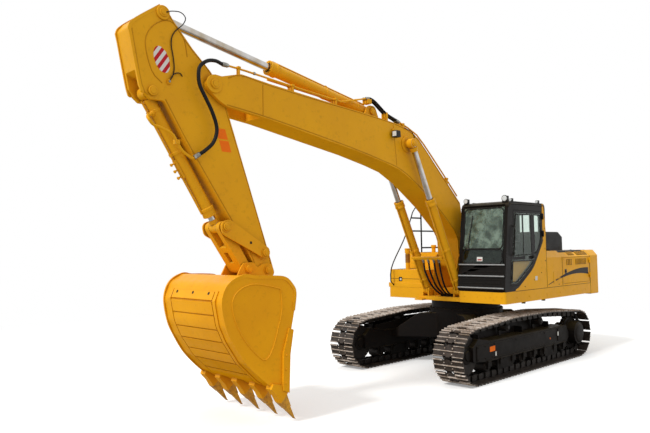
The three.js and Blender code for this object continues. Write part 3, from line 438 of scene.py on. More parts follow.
@dataclass(frozen=True)
class TintedGlass:
    """Green-tinted safety glass with a diffuse film: thin dust on the side panes, and on the windscreen's upper pane
    a dense painted reflection with a little dust.
    """

    name: str
    tint: str
    film: float             # share of the light that the film scatters: dust, and on the windscreen mostly painted reflection
    film_and_reflection_tone: str = "9FB0A2"
    film_and_reflection_from: float = -9.0  # height in metres where the film starts; above it on the windscreen the film is painted reflection

    def build(self) -> bpy.types.Material:
        """Make the Blender material: a clear pane that the dust film, and on the windscreen a painted reflection,
        partly hides.

        Returns:
            The material.
        """
        shade = Shade(self.name)
        shade.set(Base_Color=linear(self.film_and_reflection_tone), Roughness=0.25)
        patch = shade.patches(150, 0.4, 0.66, self.film * 0.2, self.film, 8)
        height = add_node(shade.tree, "SeparateXYZ", {0: shade.place}, "Z")
        start = add_node(shade.tree, "MapRange", {
            "Value": height, "From Min": self.film_and_reflection_from, "From Max": self.film_and_reflection_from + 0.03, "To Min": 0.04})
        # share of the diffuse film: dust, and on the windscreen painted reflection
        dust = add_node(shade.tree, "Math", {0: patch, 1: start}, operation="MULTIPLY")
        clear = add_node(shade.tree, "BsdfTransparent", {"Color": self.tint})
        gloss = add_node(shade.tree, "BsdfGlossy", {"Color": "E6F2EA", "Roughness": 0.03})
        mirror = add_node(shade.tree, "Fresnel", {"IOR": 1.5})
        inner = add_node(shade.tree, "NewGeometry", out="Backfacing")
        edge = add_node(shade.tree, "Math", {0: mirror, 1: inner}, operation="SUBTRACT", use_clamp=True)
        pane = add_node(shade.tree, "MixShader", {0: edge, 1: clear, 2: gloss})
        whole = add_node(shade.tree, "MixShader", {0: dust, 1: pane, 2: shade.shader.outputs[0]})
        shade.tree.links.new(whole, shade.tree.nodes["Material Output"].inputs["Surface"])
        return shade.material


@dataclass(frozen=True)
class Film:
    """Printed vinyl film: one colour, or two in slanting stripes, with scuffs and soft gloss."""

    name: str
    base: str
    stripe: str = ""
    pitch: float = 92.0     # from one stripe to the next, across them
    slant: Flat = (0.82, 0.57)

    def build(self) -> bpy.types.Material:
        """Make the Blender material.

        Returns:
            The material.
        """
        shade = Shade(self.name)
        coats = []
        if self.stripe:
            x, z = (add_node(shade.tree, "SeparateXYZ", {0: shade.place}, way) for way in "XZ")
            across = [add_node(shade.tree, "Math", {0: way, 1: part / (self.pitch * MM)}, operation="MULTIPLY")
                      for way, part in zip((x, z), self.slant)]
            turns = add_node(shade.tree, "Math", {0: across[0], 1: across[1]}, operation="ADD")
            place = add_node(shade.tree, "Math", {0: turns}, operation="FRACT")
            coats.append((add_node(shade.tree, "Math", {0: place, 1: 0.5}, operation="GREATER_THAN"), self.stripe))
        coats.append((shade.patches(40, 0.55, 0.8, 0, 0.1, 6), "8A7A66"))
        shade.set(Base_Color=shade.layered(self.base, *coats), Roughness=shade.patches(50, 0.3, 0.7, 0.3, 0.45),
                  Specular_IOR_Level=0.1)
        shade.relief(12, 0.1, 0.2)
        return shade.material


class Finish(Enum):
    """Every finish on the machine, by its use."""

    YELLOW = Enamel("yellow_enamel", "F2AF1A", "E8A51C", "A06C12", 0.36, 0.12)
    BUCKET = Enamel("bucket_enamel", "F6AC12", "ECA114", "A56E12", 0.36, 0.1)
    # a darker copy of the yellow enamel for the weld beads: painted shade
    SHADE_YELLOW = Enamel("shaded_weld_bead_enamel", "D2920F", "BC8010", "8A5E12", 0.45, 0.1)
    CHARCOAL = Enamel("charcoal_enamel", "141210", "1A1715", "2A2520", 0.3, 0.03)
    FRAME = Enamel("undercarriage_enamel", "151211", "1B1714", "2C241D", 0.45, 0.1)
    SHOE = WornSteel("rolled_shoe_steel", "231D19", "463C34", "33261B", 0.45, 0.3)
    # pale grousers against dark plates: partly steel rubbed bare, partly painted highlight
    GROUSER = WornSteel("rubbed_and_highlit_grouser_steel", "A89684", "DED3C8", "86684C", 0.36, 0.35)
    LINK = WornSteel("forged_link_steel", "1C1816", "2C2622", "33261A", 0.55, 0.4)
    # darker, browner yellow low on the teeth: partly worn paint, partly painted shade
    TOOTH = WornSteel("worn_and_shaded_tooth_steel", "C98A1E", "E8AA28", "7A5218", 0.5, 0.1)
    ZINC = WornSteel("zinc_plated_steel", "85857F", "A8A8A2", "6E665A", 0.35, 0.9, 8)
    CHROME = Chrome()
    HOSE = Rubber("hydraulic_hose_rubber")
    SEAL = Rubber("window_seal_rubber", "0F0E0E", 14)
    PLASTIC = Plastic("black_moulded_plastic", "181716")
    CONSOLE = Plastic("grey_moulded_plastic", "232425", 0.55)
    GREY = Plastic("pale_grey_moulding", "9A9C9C", 0.45)
    LENS = Plastic("lamp_lens", "D8DDDD", 0.15, 20)
    RED_LENS = Plastic("red_lamp_lens", "A3201A", 0.2, 20)
    CLOTH = Cloth("woven_seat_cloth")
    GLASS = TintedGlass("tinted_side_glass", "F6FBF8", 0.05)
    # the windscreen's dense pale green film above 2.3 m is a painted reflection, with a little dust
    SCREEN = TintedGlass("tinted_screen_glass_painted_reflection", "B4C4BA", 0.56, "93A999", 2.3)
    ORANGE = Film("orange_film", "FF7812")
    WHITE = Film("white_film", "DADAD4")
    STRIPED = Film("red_and_white_film", "C4202B", "E4E0DA")
    BLACK_FILM = Film("black_film", "211C18")
    # dark matt fill for joint lines, and painted shadow in louvre openings and holes
    SHADOW = Plastic("dark_joint_and_painted_shadow", "30220F", 0.8, 12)
    # yellow paint in shade, drawn brown on the oil filler's pipe: painted shade
    FILLER_SHADE = Enamel("shaded_filler_enamel", "A8712A", "8A5A24", "4A3018", 0.5)


@cache
def material(finish: Finish) -> bpy.types.Material:
    """Blender material of a finish, made once."""
    return finish.value.build()


# ---------------------------------------------------------------- mesh kit
def aimed(start: Flat, end: Flat) -> Matrix:
    """Frame whose x axis runs along a line in the machine's side view, with y across.

    Args:
        start: Place (x, z) of its origin.
        end: Place (x, z) that its x axis points to.

    Returns:
        The frame, in millimetres.
    """
    way = Vector((end[0] - start[0], 0, end[1] - start[1])).normalized()
    return Matrix((
        (way.x, 0, -way.z, start[0]), (0, 1, 0, 0), (way.z, 0, way.x, start[1]), (0, 0, 0, 1)))


def swept(route: Sequence[Spot], step: float) -> list[Vector]:
    """Points on a smooth curve through a route.

    Args:
        route: Places that the curve passes through.
        step: Distance between points, in millimetres.

    Returns:
        The points, from the first place to the last.
    """
    knots = [Vector(p) for p in route]
    knots = [2 * knots[0] - knots[1], *knots, 2 * knots[-1] - knots[-2]]
    points = []
    for a, b, c, d in zip(knots, knots[1:], knots[2:], knots[3:]):
        count = max(2, round((c - b).length / step))
        for k in range(count):
            t = k / count
            points.append(0.5 * (2 * b + (c - a) * t + (2 * a - 5 * b + 4 * c - d) * t * t
                                 + (3 * b - a - 3 * c + d) * t ** 3))
    points.append(knots[-2])
    return points


def ways_along(points: Sequence[Vector]) -> list[Vector]:
    """Direction of a curve at each of its points."""
    return [(b - a).normalized() for a, b in zip([points[0], *points], [*points[1:], points[-1]])]


def square_to(along: Vector) -> Vector:
    """Some direction square to another."""
    return along.cross(Vector((0, 1, 0)) if abs(along.y) < 0.9 else Vector((1, 0, 0)))


def ring(centre: Vector, u: Vector, v: Vector, radius: float, sides: int) -> list[Vector]:
    """Corners of a regular polygon in the plane of two unit vectors.

    Args:
        centre: Middle of the ring.
        u: Way to its first corner.
        v: Way square to u in its plane.
        radius: Its radius.
        sides: Number of its corners.

    Returns:
        The corners in order.
    """
    return [centre + radius * (math.cos(a) * u + math.sin(a) * v)
            for a in (2 * math.pi * k / sides for k in range(sides))]


class Piece:
    """One visible mesh made of closed solids, riding on one body."""

    def __init__(self, name: str, body: str, slot: Slot = Slot.YELLOW, finish: Finish = Finish.YELLOW,
                 frame_in: Matrix | None = None) -> None:
        """Start an empty piece.

        Args:
            name: Name of the piece.
            body: CAD body that it rides on.
            slot: Record's slot that its finish belongs to.
            finish: Finish of what is added, unless another is named.
            frame_in: Frame of the places given, or the machine's own.
        """
        self.name, self.body, self.slot, self.finish = name, body, slot, finish
        self.frame = frame_in or Matrix.Identity(4)
        self.mesh = bmesh.new()
        self.finishes: list[Finish] = []

    def rings(self, rows: Sequence[Sequence[Vector | Spot]], finish: Finish | None = None) -> None:
        """Skin rows of corners into one solid, with a cap at each end.

        Args:
            rows: Rows of equally many corners.
            finish: Finish of the solid, or the piece's own.
        """
        finish = finish or self.finish
        if finish not in self.finishes:
            self.finishes.append(finish)
        rows = [[self.mesh.verts.new(at(self.frame @ Vector(c))) for c in row] for row in rows]
        faces = []
        for low, high in zip(rows, rows[1:]):
            for k in range(len(low)):
                m = (k + 1) % len(low)
                faces.append(self.mesh.faces.new((low[k], low[m], high[m], high[k])))
        faces += [self.mesh.faces.new(rows[0][::-1]), self.mesh.faces.new(rows[-1])]
        for face in faces:
            face.material_index = self.finishes.index(finish)
        bmesh.ops.recalc_face_normals(self.mesh, faces=faces)

    def block(self, x: Flat, y: Flat, z: Flat, finish: Finish | None = None, shrink: float = 1.0) -> None:
        """Box between ranges.

        Args:
            x: Lowest and highest x.
            y: Lowest and highest y.
            z: Lowest and highest z.
            finish: Finish of the box, or the piece's own.
            shrink: Width of its top, as a share of its foot's.
        """
        cx, cy = sum(x) / 2, sum(y) / 2
        rows = []
        for height, scale in ((z[0], 1.0), (z[1], shrink)):
            rows.append([Vector((cx + (a - cx) * scale, cy + (b - cy) * scale, height))
                         for a, b in ((x[0], y[0]), (x[1], y[0]), (x[1], y[1]), (x[0], y[1]))])
        self.rings(rows, finish)

    def plate(self, side: Sequence[Flat], low: float, high: float, finish: Finish | None = None) -> None:
        """Side outline (x, z) made solid from one place across to another."""
        self.rings([side_line(side, y) for y in (low, high)], finish)

    def turned(self, foot: Spot, axis: Spot, profile: Sequence[Flat], finish: Finish | None = None,
               sides: int = 32) -> None:
        """Turned solid: a profile round an axis.

        Args:
            foot: Place where the profile starts.
            axis: Way of the axis.
            profile: Distances along the axis and radii.
            finish: Finish of the solid, or the piece's own.
            sides: Flats round it.
        """
        foot, axis = Vector(foot), Vector(axis).normalized()
        u = square_to(axis).normalized()
        v = axis.cross(u).normalized()
        self.rings([ring(foot + axis * d, u, v, r, sides) for d, r in profile], finish)

    def tube(self, route: Sequence[Spot], radius: float, finish: Finish | None = None, sides: int = 12,
             step: float = 30.0) -> None:
        """Round bar or hose along a smooth route.

        Args:
            route: Places that its middle passes through.
            radius: Its radius.
            finish: Its finish, or the piece's own.
            sides: Flats round it.
            step: Distance between its rings.
        """
        points = swept(route, step)
        ways = ways_along(points)
        rows, u = [], square_to(ways[0])
        for point, along in zip(points, ways):
            u = (u - along * u.dot(along)).normalized()
            rows.append(ring(point, u, along.cross(u), radius, sides))
        self.rings(rows, finish)

    def bolt(self, foot: Spot, axis: Spot, size: float, finish: Finish | None = None) -> None:
        """Hexagon bolt head on a washer; size is the bolt's diameter."""
        self.turned(foot, axis, [(-2, size * 1.1), (size * 0.16, size * 1.1), (size * 0.2, size * 1.04)], finish, 20)
        self.turned(foot, axis, [(0, size * 0.92), (size * 0.72, size * 0.92), (size * 0.85, size * 0.74)], finish, 6)

    def bolts(self, centre: Spot, way: int, circle: float, count: int, size: float, first: float = 0.0) -> None:
        """Ring of bolts that face across the machine.

        Args:
            centre: Middle of the ring, at the bolts' feet.
            way: 1 to face left, -1 to face right.
            circle: Radius of the ring.
            count: Number of bolts.
            size: Diameter of a bolt.
            first: Angle of the first bolt.
        """
        for k in range(count):
            angle = 2 * math.pi * k / count + first
            self.bolt((centre[0] + circle * math.cos(angle), centre[1], centre[2] + circle * math.sin(angle)),
                      (0, way, 0), size)

    def done(self, bevel: float = 0.0, blended: bool = False, segments: int = 2) -> bpy.types.Object:
        """Make the object, round its edges and let it ride on its body.

        Args:
            bevel: Width of the rounded edges in millimetres.
            blended: True to leave it on no body, for a piece that spans two bodies.
            segments: Steps round each edge.

        Returns:
            The new object.
        """
        data = bpy.data.meshes.new(self.name)
        self.mesh.to_mesh(data)
        self.mesh.free()
        for finish in self.finishes:
            data.materials.append(material(finish))
        made = placed(self.name, data)
        smooth(made, bevel, segments)
        if not blended:
            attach(made, self.body)
        log.info("%s: %d faces on %s", self.name, len(data.polygons), self.body)
        return made


def smooth(piece: bpy.types.Object, bevel: float, segments: int = 2, welded: bool = False) -> None:
    """Shade a piece smooth, with rounded edges.

    Args:
        piece: Object to treat.
        bevel: Width of the rounded edges in millimetres, or 0 for none.
        segments: Steps round each edge.
        welded: True if its flat faces are in triangles that should be joined first.
    """
    data = piece.data
    if "custom_normal" in data.attributes:
        data.attributes.remove(data.attributes["custom_normal"])
    data.polygons.foreach_set("use_smooth", [True] * len(data.polygons))
    if welded:
        piece.modifiers.new("weld", "WELD").merge_threshold = 0.00005
        flatten = piece.modifiers.new("flatten", "DECIMATE")
        flatten.decimate_type = "DISSOLVE"
        flatten.angle_limit = math.radians(1.0)
    if bevel:
        edge = piece.modifiers.new("edge", "BEVEL")
        edge.width = bevel * MM
        edge.segments = segments
        edge.limit_method = "ANGLE"
        edge.angle_limit = math.radians(38)
        edge.miter_outer = "MITER_ARC"
    else:
        data.set_sharp_from_angle(angle=math.radians(40))
    piece.modifiers.new("normals", "WEIGHTED_NORMAL").keep_sharp = True


# ---------------------------------------------------------------- undercarriage
@dataclass(frozen=True)
class Track:
    """One crawler track: triple-grouser shoes on a two-row chain round four wheels."""

    side: str
    middle: float           # place across the machine, positive to the left
    tumbler_x: float = 2015.0
    height: float = 980.0
    shoe_count: int = 50
    shoe_half: float = 300.0
    plate: float = 16.0
    grouser: float = 24.0
    chain: float = 105.0
    carrier_x: float = 650.0
    carrier_radius: float = 75.0
    carrier_lift: float = 90.0
    link_y: float = 78.0
    gap: float = 0.3        # between the chain and what it runs on
    roller_count: int = 8
    roller_first: float = 560.0     # from a tumbler to the nearest roller
    roller_radius: float = 95.0
    teeth: int = 25

    @property
    def wheel(self) -> float:
        """Radius of the idler and the sprocket."""
        return self.height / 2 - self.grouser - self.plate - self.chain

    @property
    def carrier_z(self) -> float:
        """Height of the carrier rollers' axles."""
        return (self.height + self.carrier_lift - self.grouser - self.plate - self.chain - self.gap
                - self.carrier_radius)

    def legs(self) -> list[tuple[Vector, float, float, float, float]]:
        """The belt's arcs round its wheels, each with the straight run after it.

        Returns:
            Hub, radius, first and last angle, and length of the run, for each wheel.
        """
        wheels = [(Vector((x, z)), r) for x, z, r in (
            (self.tumbler_x, self.height / 2, self.wheel), (self.carrier_x, self.carrier_z, self.carrier_radius),
            (-self.carrier_x, self.carrier_z, self.carrier_radius), (-self.tumbler_x, self.height / 2, self.wheel))]

        def run_angle(one: tuple[Vector, float], two: tuple[Vector, float]) -> float:
            """Angle of the outward normal of the run from one wheel to the next."""
            way = two[0] - one[0]
            return math.atan2(way.y, way.x) - math.pi / 2 + math.asin((one[1] - two[1]) / way.length)

        legs = []
        for k, wheel in enumerate(wheels):
            after = wheels[(k + 1) % 4]
            start, end = run_angle(wheels[k - 1], wheel), run_angle(wheel, after)
            start %= 2 * math.pi
            while end < start:
                end += 2 * math.pi
            while end - start > 2 * math.pi:
                end -= 2 * math.pi
            apart = (after[0] - wheel[0]).length
            legs.append((*wheel, start, end, math.sqrt(apart ** 2 - (wheel[1] - after[1]) ** 2)))
        return legs

    def pins(self) -> list[Vector]:
        """Places of the chain's pins round the belt.

        Returns:
            The places (x, z), one to each shoe.
        """
        legs = self.legs()
        reach = self.chain / 2
        lengths = [(end - start) * (radius + reach) + run for _, radius, start, end, run in legs]
        pitch = sum(lengths) / self.shoe_count
        places = []
        for k in range(self.shoe_count):
            s = k * pitch
            leg = 0
            while s >= lengths[leg]:
                s -= lengths[leg]
                leg += 1
            hub, radius, start, end, _ = legs[leg]
            angle = min(end, start + s / (radius + reach))
            past = max(0.0, s - (end - start) * (radius + reach))
            normal = Vector((math.cos(angle), math.sin(angle)))
            places.append(hub + normal * (radius + reach) + Vector((-normal.y, normal.x)) * past)
        return places

    def build(self) -> None:
        """Make the belt, its chain and the wheels' visible details."""
        self.belt()
        self.rollers()
        self.wheels()

    def belt(self) -> None:
        """Shoes bolted to forged links, one shoe to each pitch."""
        pins = self.pins()
        shoes = Piece(f"shoes_{self.side}", "undercarriage", Slot.TRACK, Finish.SHOE)
        links = Piece(f"chain_{self.side}", "undercarriage", Slot.TRACK, Finish.LINK)
        for pin, after in zip(pins, pins[1:] + pins[:1]):
            way = after - pin
            pitch = way.length
            way.normalize()
            # x along the chain, z outward
            frame_in = Matrix((
                (-way.x, 0, way.y, pin.x + way.x * pitch), (0, 1, 0, self.middle),
                (-way.y, 0, -way.x, pin.y + way.y * pitch), (0, 0, 0, 1)))
            shoes.frame = links.frame = frame_in
            self.shoe(shoes, pitch)
            self.link(links, pitch)
        belt = shoes.done(2.0, segments=1)
        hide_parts(f"track_{self.side}")
        links.done(3.0, segments=1)

    def shoe(self, piece: Piece, pitch: float) -> None:
        """One shoe: a plate with two mud holes and three grousers, and four bolts.

        Args:
            piece: Piece that it joins, in the shoe's own frame.
            pitch: Length of the shoe.
        """
        foot = self.chain / 2
        half = self.shoe_half
        lip = 3.0
        plan = [(lip, -half), (lip, -98), (24, -92), (24, -44), (lip, -38), (lip, 38), (24, 44), (24, 92), (lip, 98),
                (lip, half), (pitch - lip, half), (pitch - lip, 98), (pitch - 22, 92), (pitch - 22, 44),
                (pitch - lip, 38), (pitch - lip, -38), (pitch - 22, -44), (pitch - 22, -92), (pitch - lip, -98),
                (pitch - lip, -half)]
        piece.rings([[Vector((x, y, z)) for x, y in plan] for z in (foot, foot + self.plate)])
        # grousers and bolts take the pale rubbed finish, which is partly painted highlight
        for place, width in ((12, 9), (pitch / 2, 11), (pitch - 14, 9)):
            low, high = foot + self.plate - 1, foot + self.plate + self.grouser
            reach = half - 1 if width > 10 else half - 4
            for y0, y1 in ((-reach, -99), (99, reach)) if width < 10 else ((-reach, reach),):
                piece.rings([[Vector((place + dx, y, z)) for dx, z in (
                    (-width, low), (width, low), (width * 0.62, high - 5), (width * 0.3, high),
                    (-width * 0.3, high), (-width * 0.62, high - 5))] for y in (y0, y1)], Finish.GROUSER)
        for x in (pitch * 0.28, pitch * 0.72):
            for y in (-self.link_y, self.link_y):
                piece.bolt((x, y, foot + self.plate), UP, 11, Finish.GROUSER)

    def link(self, piece: Piece, pitch: float) -> None:
        """One pair of links, with the pin and bushing at its start.

        Args:
            piece: Piece that they join, in the shoe's own frame.
            pitch: Distance between pins.
        """
        half = self.chain / 2
        outline = [(-30, -18), (-12, -half + 4), (pitch * 0.5, -half + 1), (pitch + 12, -half + 4),
                   (pitch + 30, -18), (pitch + 30, 18), (pitch + 10, half - 14), (pitch - 20, half), (20, half),
                   (-10, half - 14), (-30, 18)]
        for side in (-1, 1):
            for x0, x1, y in ((-30, pitch * 0.5, 62), (pitch * 0.5 - 8, pitch + 30, 88)):
                part = [(min(max(x, x0), x1), z) for x, z in outline]
                tidy = [p for k, p in enumerate(part) if p != part[k - 1]]
                piece.plate(tidy, *span(side * y, side * (y + 24)))
        piece.turned((0, -114, 0), (0, 1, 0), [(0, 17), (228, 17)], sides=14)
        piece.turned((0, -60, 0), (0, 1, 0), [(0, 27), (120, 27)], sides=14)

    def rollers(self) -> None:
        """Turned shells and bolted end caps on the track and carrier rollers."""
        piece = Piece(f"rollers_{self.side}", "undercarriage", Slot.DARK, Finish.LINK)
        first = -self.tumbler_x + self.roller_first
        step = -2 * first / (self.roller_count - 1)
        low = self.grouser + self.plate + self.chain + self.gap + self.roller_radius
        places = [(first + k * step, low, self.roller_radius, 132) for k in range(self.roller_count)]
        places += [(x, self.carrier_z, 74, 92) for x in (-self.carrier_x, self.carrier_x)]
        for x, z, radius, half in places:
            foot = (x, self.middle - half - 22, z)
            piece.turned(foot, (0, 1, 0), [
                (0, 34), (4, 40), (18, 46), (22, radius * 0.62), (30, radius * 0.9), (36, radius + 1.5),
                (2 * half + 8, radius + 1.5), (2 * half + 14, radius * 0.9), (2 * half + 22, radius * 0.62),
                (2 * half + 26, 46), (2 * half + 40, 40), (2 * half + 44, 34)], sides=28)
        piece.done(3.0)

    def wheels(self) -> None:
        """Rim and hub of the idler, and teeth, hub and bolts of the final drive."""
        out = 1 if self.middle > 0 else -1
        idler = Piece(f"idler_face_{self.side}", "undercarriage", Slot.DARK, Finish.FRAME)
        z = self.height / 2
        for way in (-1, 1):
            y = self.middle + way * 60
            foot = (self.tumbler_x, y, z)
            idler.turned(foot, (0, way, 0), [(-3, 318), (8, 318), (12, 312)], Finish.LINK, 48)
            idler.turned(foot, (0, way, 0), [(-3, 150), (24, 150), (30, 142), (34, 90), (52, 84), (56, 40)], sides=40)
        idler.done(3.0)
        drive = Piece(f"final_drive_{self.side}", "undercarriage", Slot.DARK, Finish.FRAME)
        root, tip = self.wheel - 30, self.wheel + 36
        tooth = ((0.1, root), (0.24, tip - 12), (0.34, tip), (0.52, tip), (0.62, tip - 12), (0.76, root))
        outline = []
        for k in range(self.teeth):
            for share, radius in tooth:
                angle = 2 * math.pi * (k + share) / self.teeth
                outline.append((-self.tumbler_x + radius * math.cos(angle), z + radius * math.sin(angle)))
        drive.plate(outline, self.middle - 34, self.middle + 34, Finish.LINK)
        foot = (-self.tumbler_x, self.middle + out * 50, z)
        drive.turned(foot, (0, out, 0), [
            (-2, 262), (22, 262), (26, 256), (28, 238), (150, 236), (172, 228), (200, 226), (204, 196), (212, 190),
            (228, 160), (232, 60)], sides=48)
        for height, circle, count in ((22, 250, 24), (206, 178, 12)):
            drive.bolts((foot[0], foot[1] + out * height, z), out, circle, count, 11)
        drive.done(2.0, segments=1)


@dataclass(frozen=True)
class SideFrame:
    """Fittings of one track frame: cover plates, bolts, weld beads, guards and blank labels."""

    side: str
    middle: float
    half: float = 165.0
    bottom: float = 330.0
    roller_step: float = 415.7

    def build(self) -> None:
        """Make the fittings on both faces."""
        piece = Piece(f"frame_fittings_{self.side}", "undercarriage", Slot.BLACK, Finish.FRAME)
        out = 1 if self.middle > 0 else -1
        for way in (-1, 1):
            face = self.middle + way * self.half
            for bead in ([(1380, 668), (600, 668), (-1440, 668)], [(1500, 346), (-1500, 346)]):
                piece.tube(side_line(bead, face), 8, step=200)
            for k in range(8):
                x = -1455 + k * self.roller_step
                for dx in (-70, 70):
                    piece.bolt((x + dx, face - way * 18, self.bottom - 1), (0, 0, -1), 14)
                piece.block((x - 62, x + 62), span(face, face + way * 20), (246, self.bottom + 26))
                for dx in (-40, 40):
                    piece.bolt((x + dx, face + way * 20, 330), (0, way, 0), 11)
        face = self.middle + out * self.half
        # bolted cover over the idler's adjuster, with a rib along it
        y = span(face - out, face + out * 14)
        piece.block((1330, 1850), y, (380, 640))
        piece.block((-1500, -1180), y, (400, 650))
        for x in (1365, 1590, 1815):
            for z in (405, 615):
                piece.bolt((x, face + out * 14, z), (0, out, 0), 12)
        for x0, x1 in ((-1100, -620), (-560, 500), (560, 1270)):
            for z in ((600, 640), (372, 392)):
                piece.block((x0, x1), span(face - out, face + out * 7), z)
        # guards that keep the chain on the rollers
        for x in (-900, 900):
            for way in (-1, 1):
                inner = self.middle + way * 140
                piece.block((x - 260, x + 260), span(inner, inner + way * 18), (150, self.bottom + 4))
        # dark plate between the rollers that fills the space under the upper run so that it reads dark: painted shade
        rear = -1150 if out > 0 else -1700
        for y in (self.middle - 150, self.middle + 150)[:1 if out > 0 else 2]:
            piece.plate([(rear, 680), (1640, 680), (1640, 800), (720, 872), (-720, 872), (rear, 815)], y - 6, y + 6)
        for x in (rear + 60, 0, 1560):
            piece.block((x - 6, x + 6), (self.middle - 150, self.middle + 30), (682, 800), shrink=0.9)
        piece.done(4.0, segments=1)
        labels = Piece(f"frame_labels_{self.side}", "undercarriage", Slot.BLACK, Finish.ORANGE)
        cover = span(face + out * 13.5, face + out * 15.5)
        side = span(face - out * 0.5, face + out * 1.5)
        for x, y, z, finish in (
                ((1240, 1325), side, (500, 590), Finish.ORANGE), ((1335, 1440), cover, (500, 590), Finish.ORANGE),
                ((1195, 1240), side, (405, 480), Finish.WHITE), ((-1210, -1160), cover, (510, 590), Finish.WHITE),
                ((-880, -850), side, (470, 500), Finish.ORANGE)):
            labels.block(x, y, z, finish)
        labels.done()


@dataclass(frozen=True)
class Centre:
    """Fittings of the centre frame and the slewing ring."""

    ring_bottom: float = 1085.0
    bolt_circle: float = 722.0
    bolt_count: int = 36

    def build(self) -> None:
        """Make the ring's bolts, its plain guard ring and the frame's weld beads."""
        piece = Piece("slewing_bolts", "undercarriage", Slot.DARK, Finish.FRAME)
        piece.turned((0, 0, self.ring_bottom - 2), UP, [(0, 748), (34, 748), (38, 742)], sides=72)
        for k in range(self.bolt_count):
            angle = 2 * math.pi * k / self.bolt_count
            spot = (self.bolt_circle * math.cos(angle), self.bolt_circle * math.sin(angle), self.ring_bottom + 36)
            piece.bolt(spot, UP, 13)
        for x in (-1, 1):
            for y in (-1, 1):
                piece.tube([(x * 160, y * 600, 1088), (x * 300, y * 700, 1000), (x * 640, y * 960, 800)], 9, step=90)
        piece.done(2.0, segments=1)


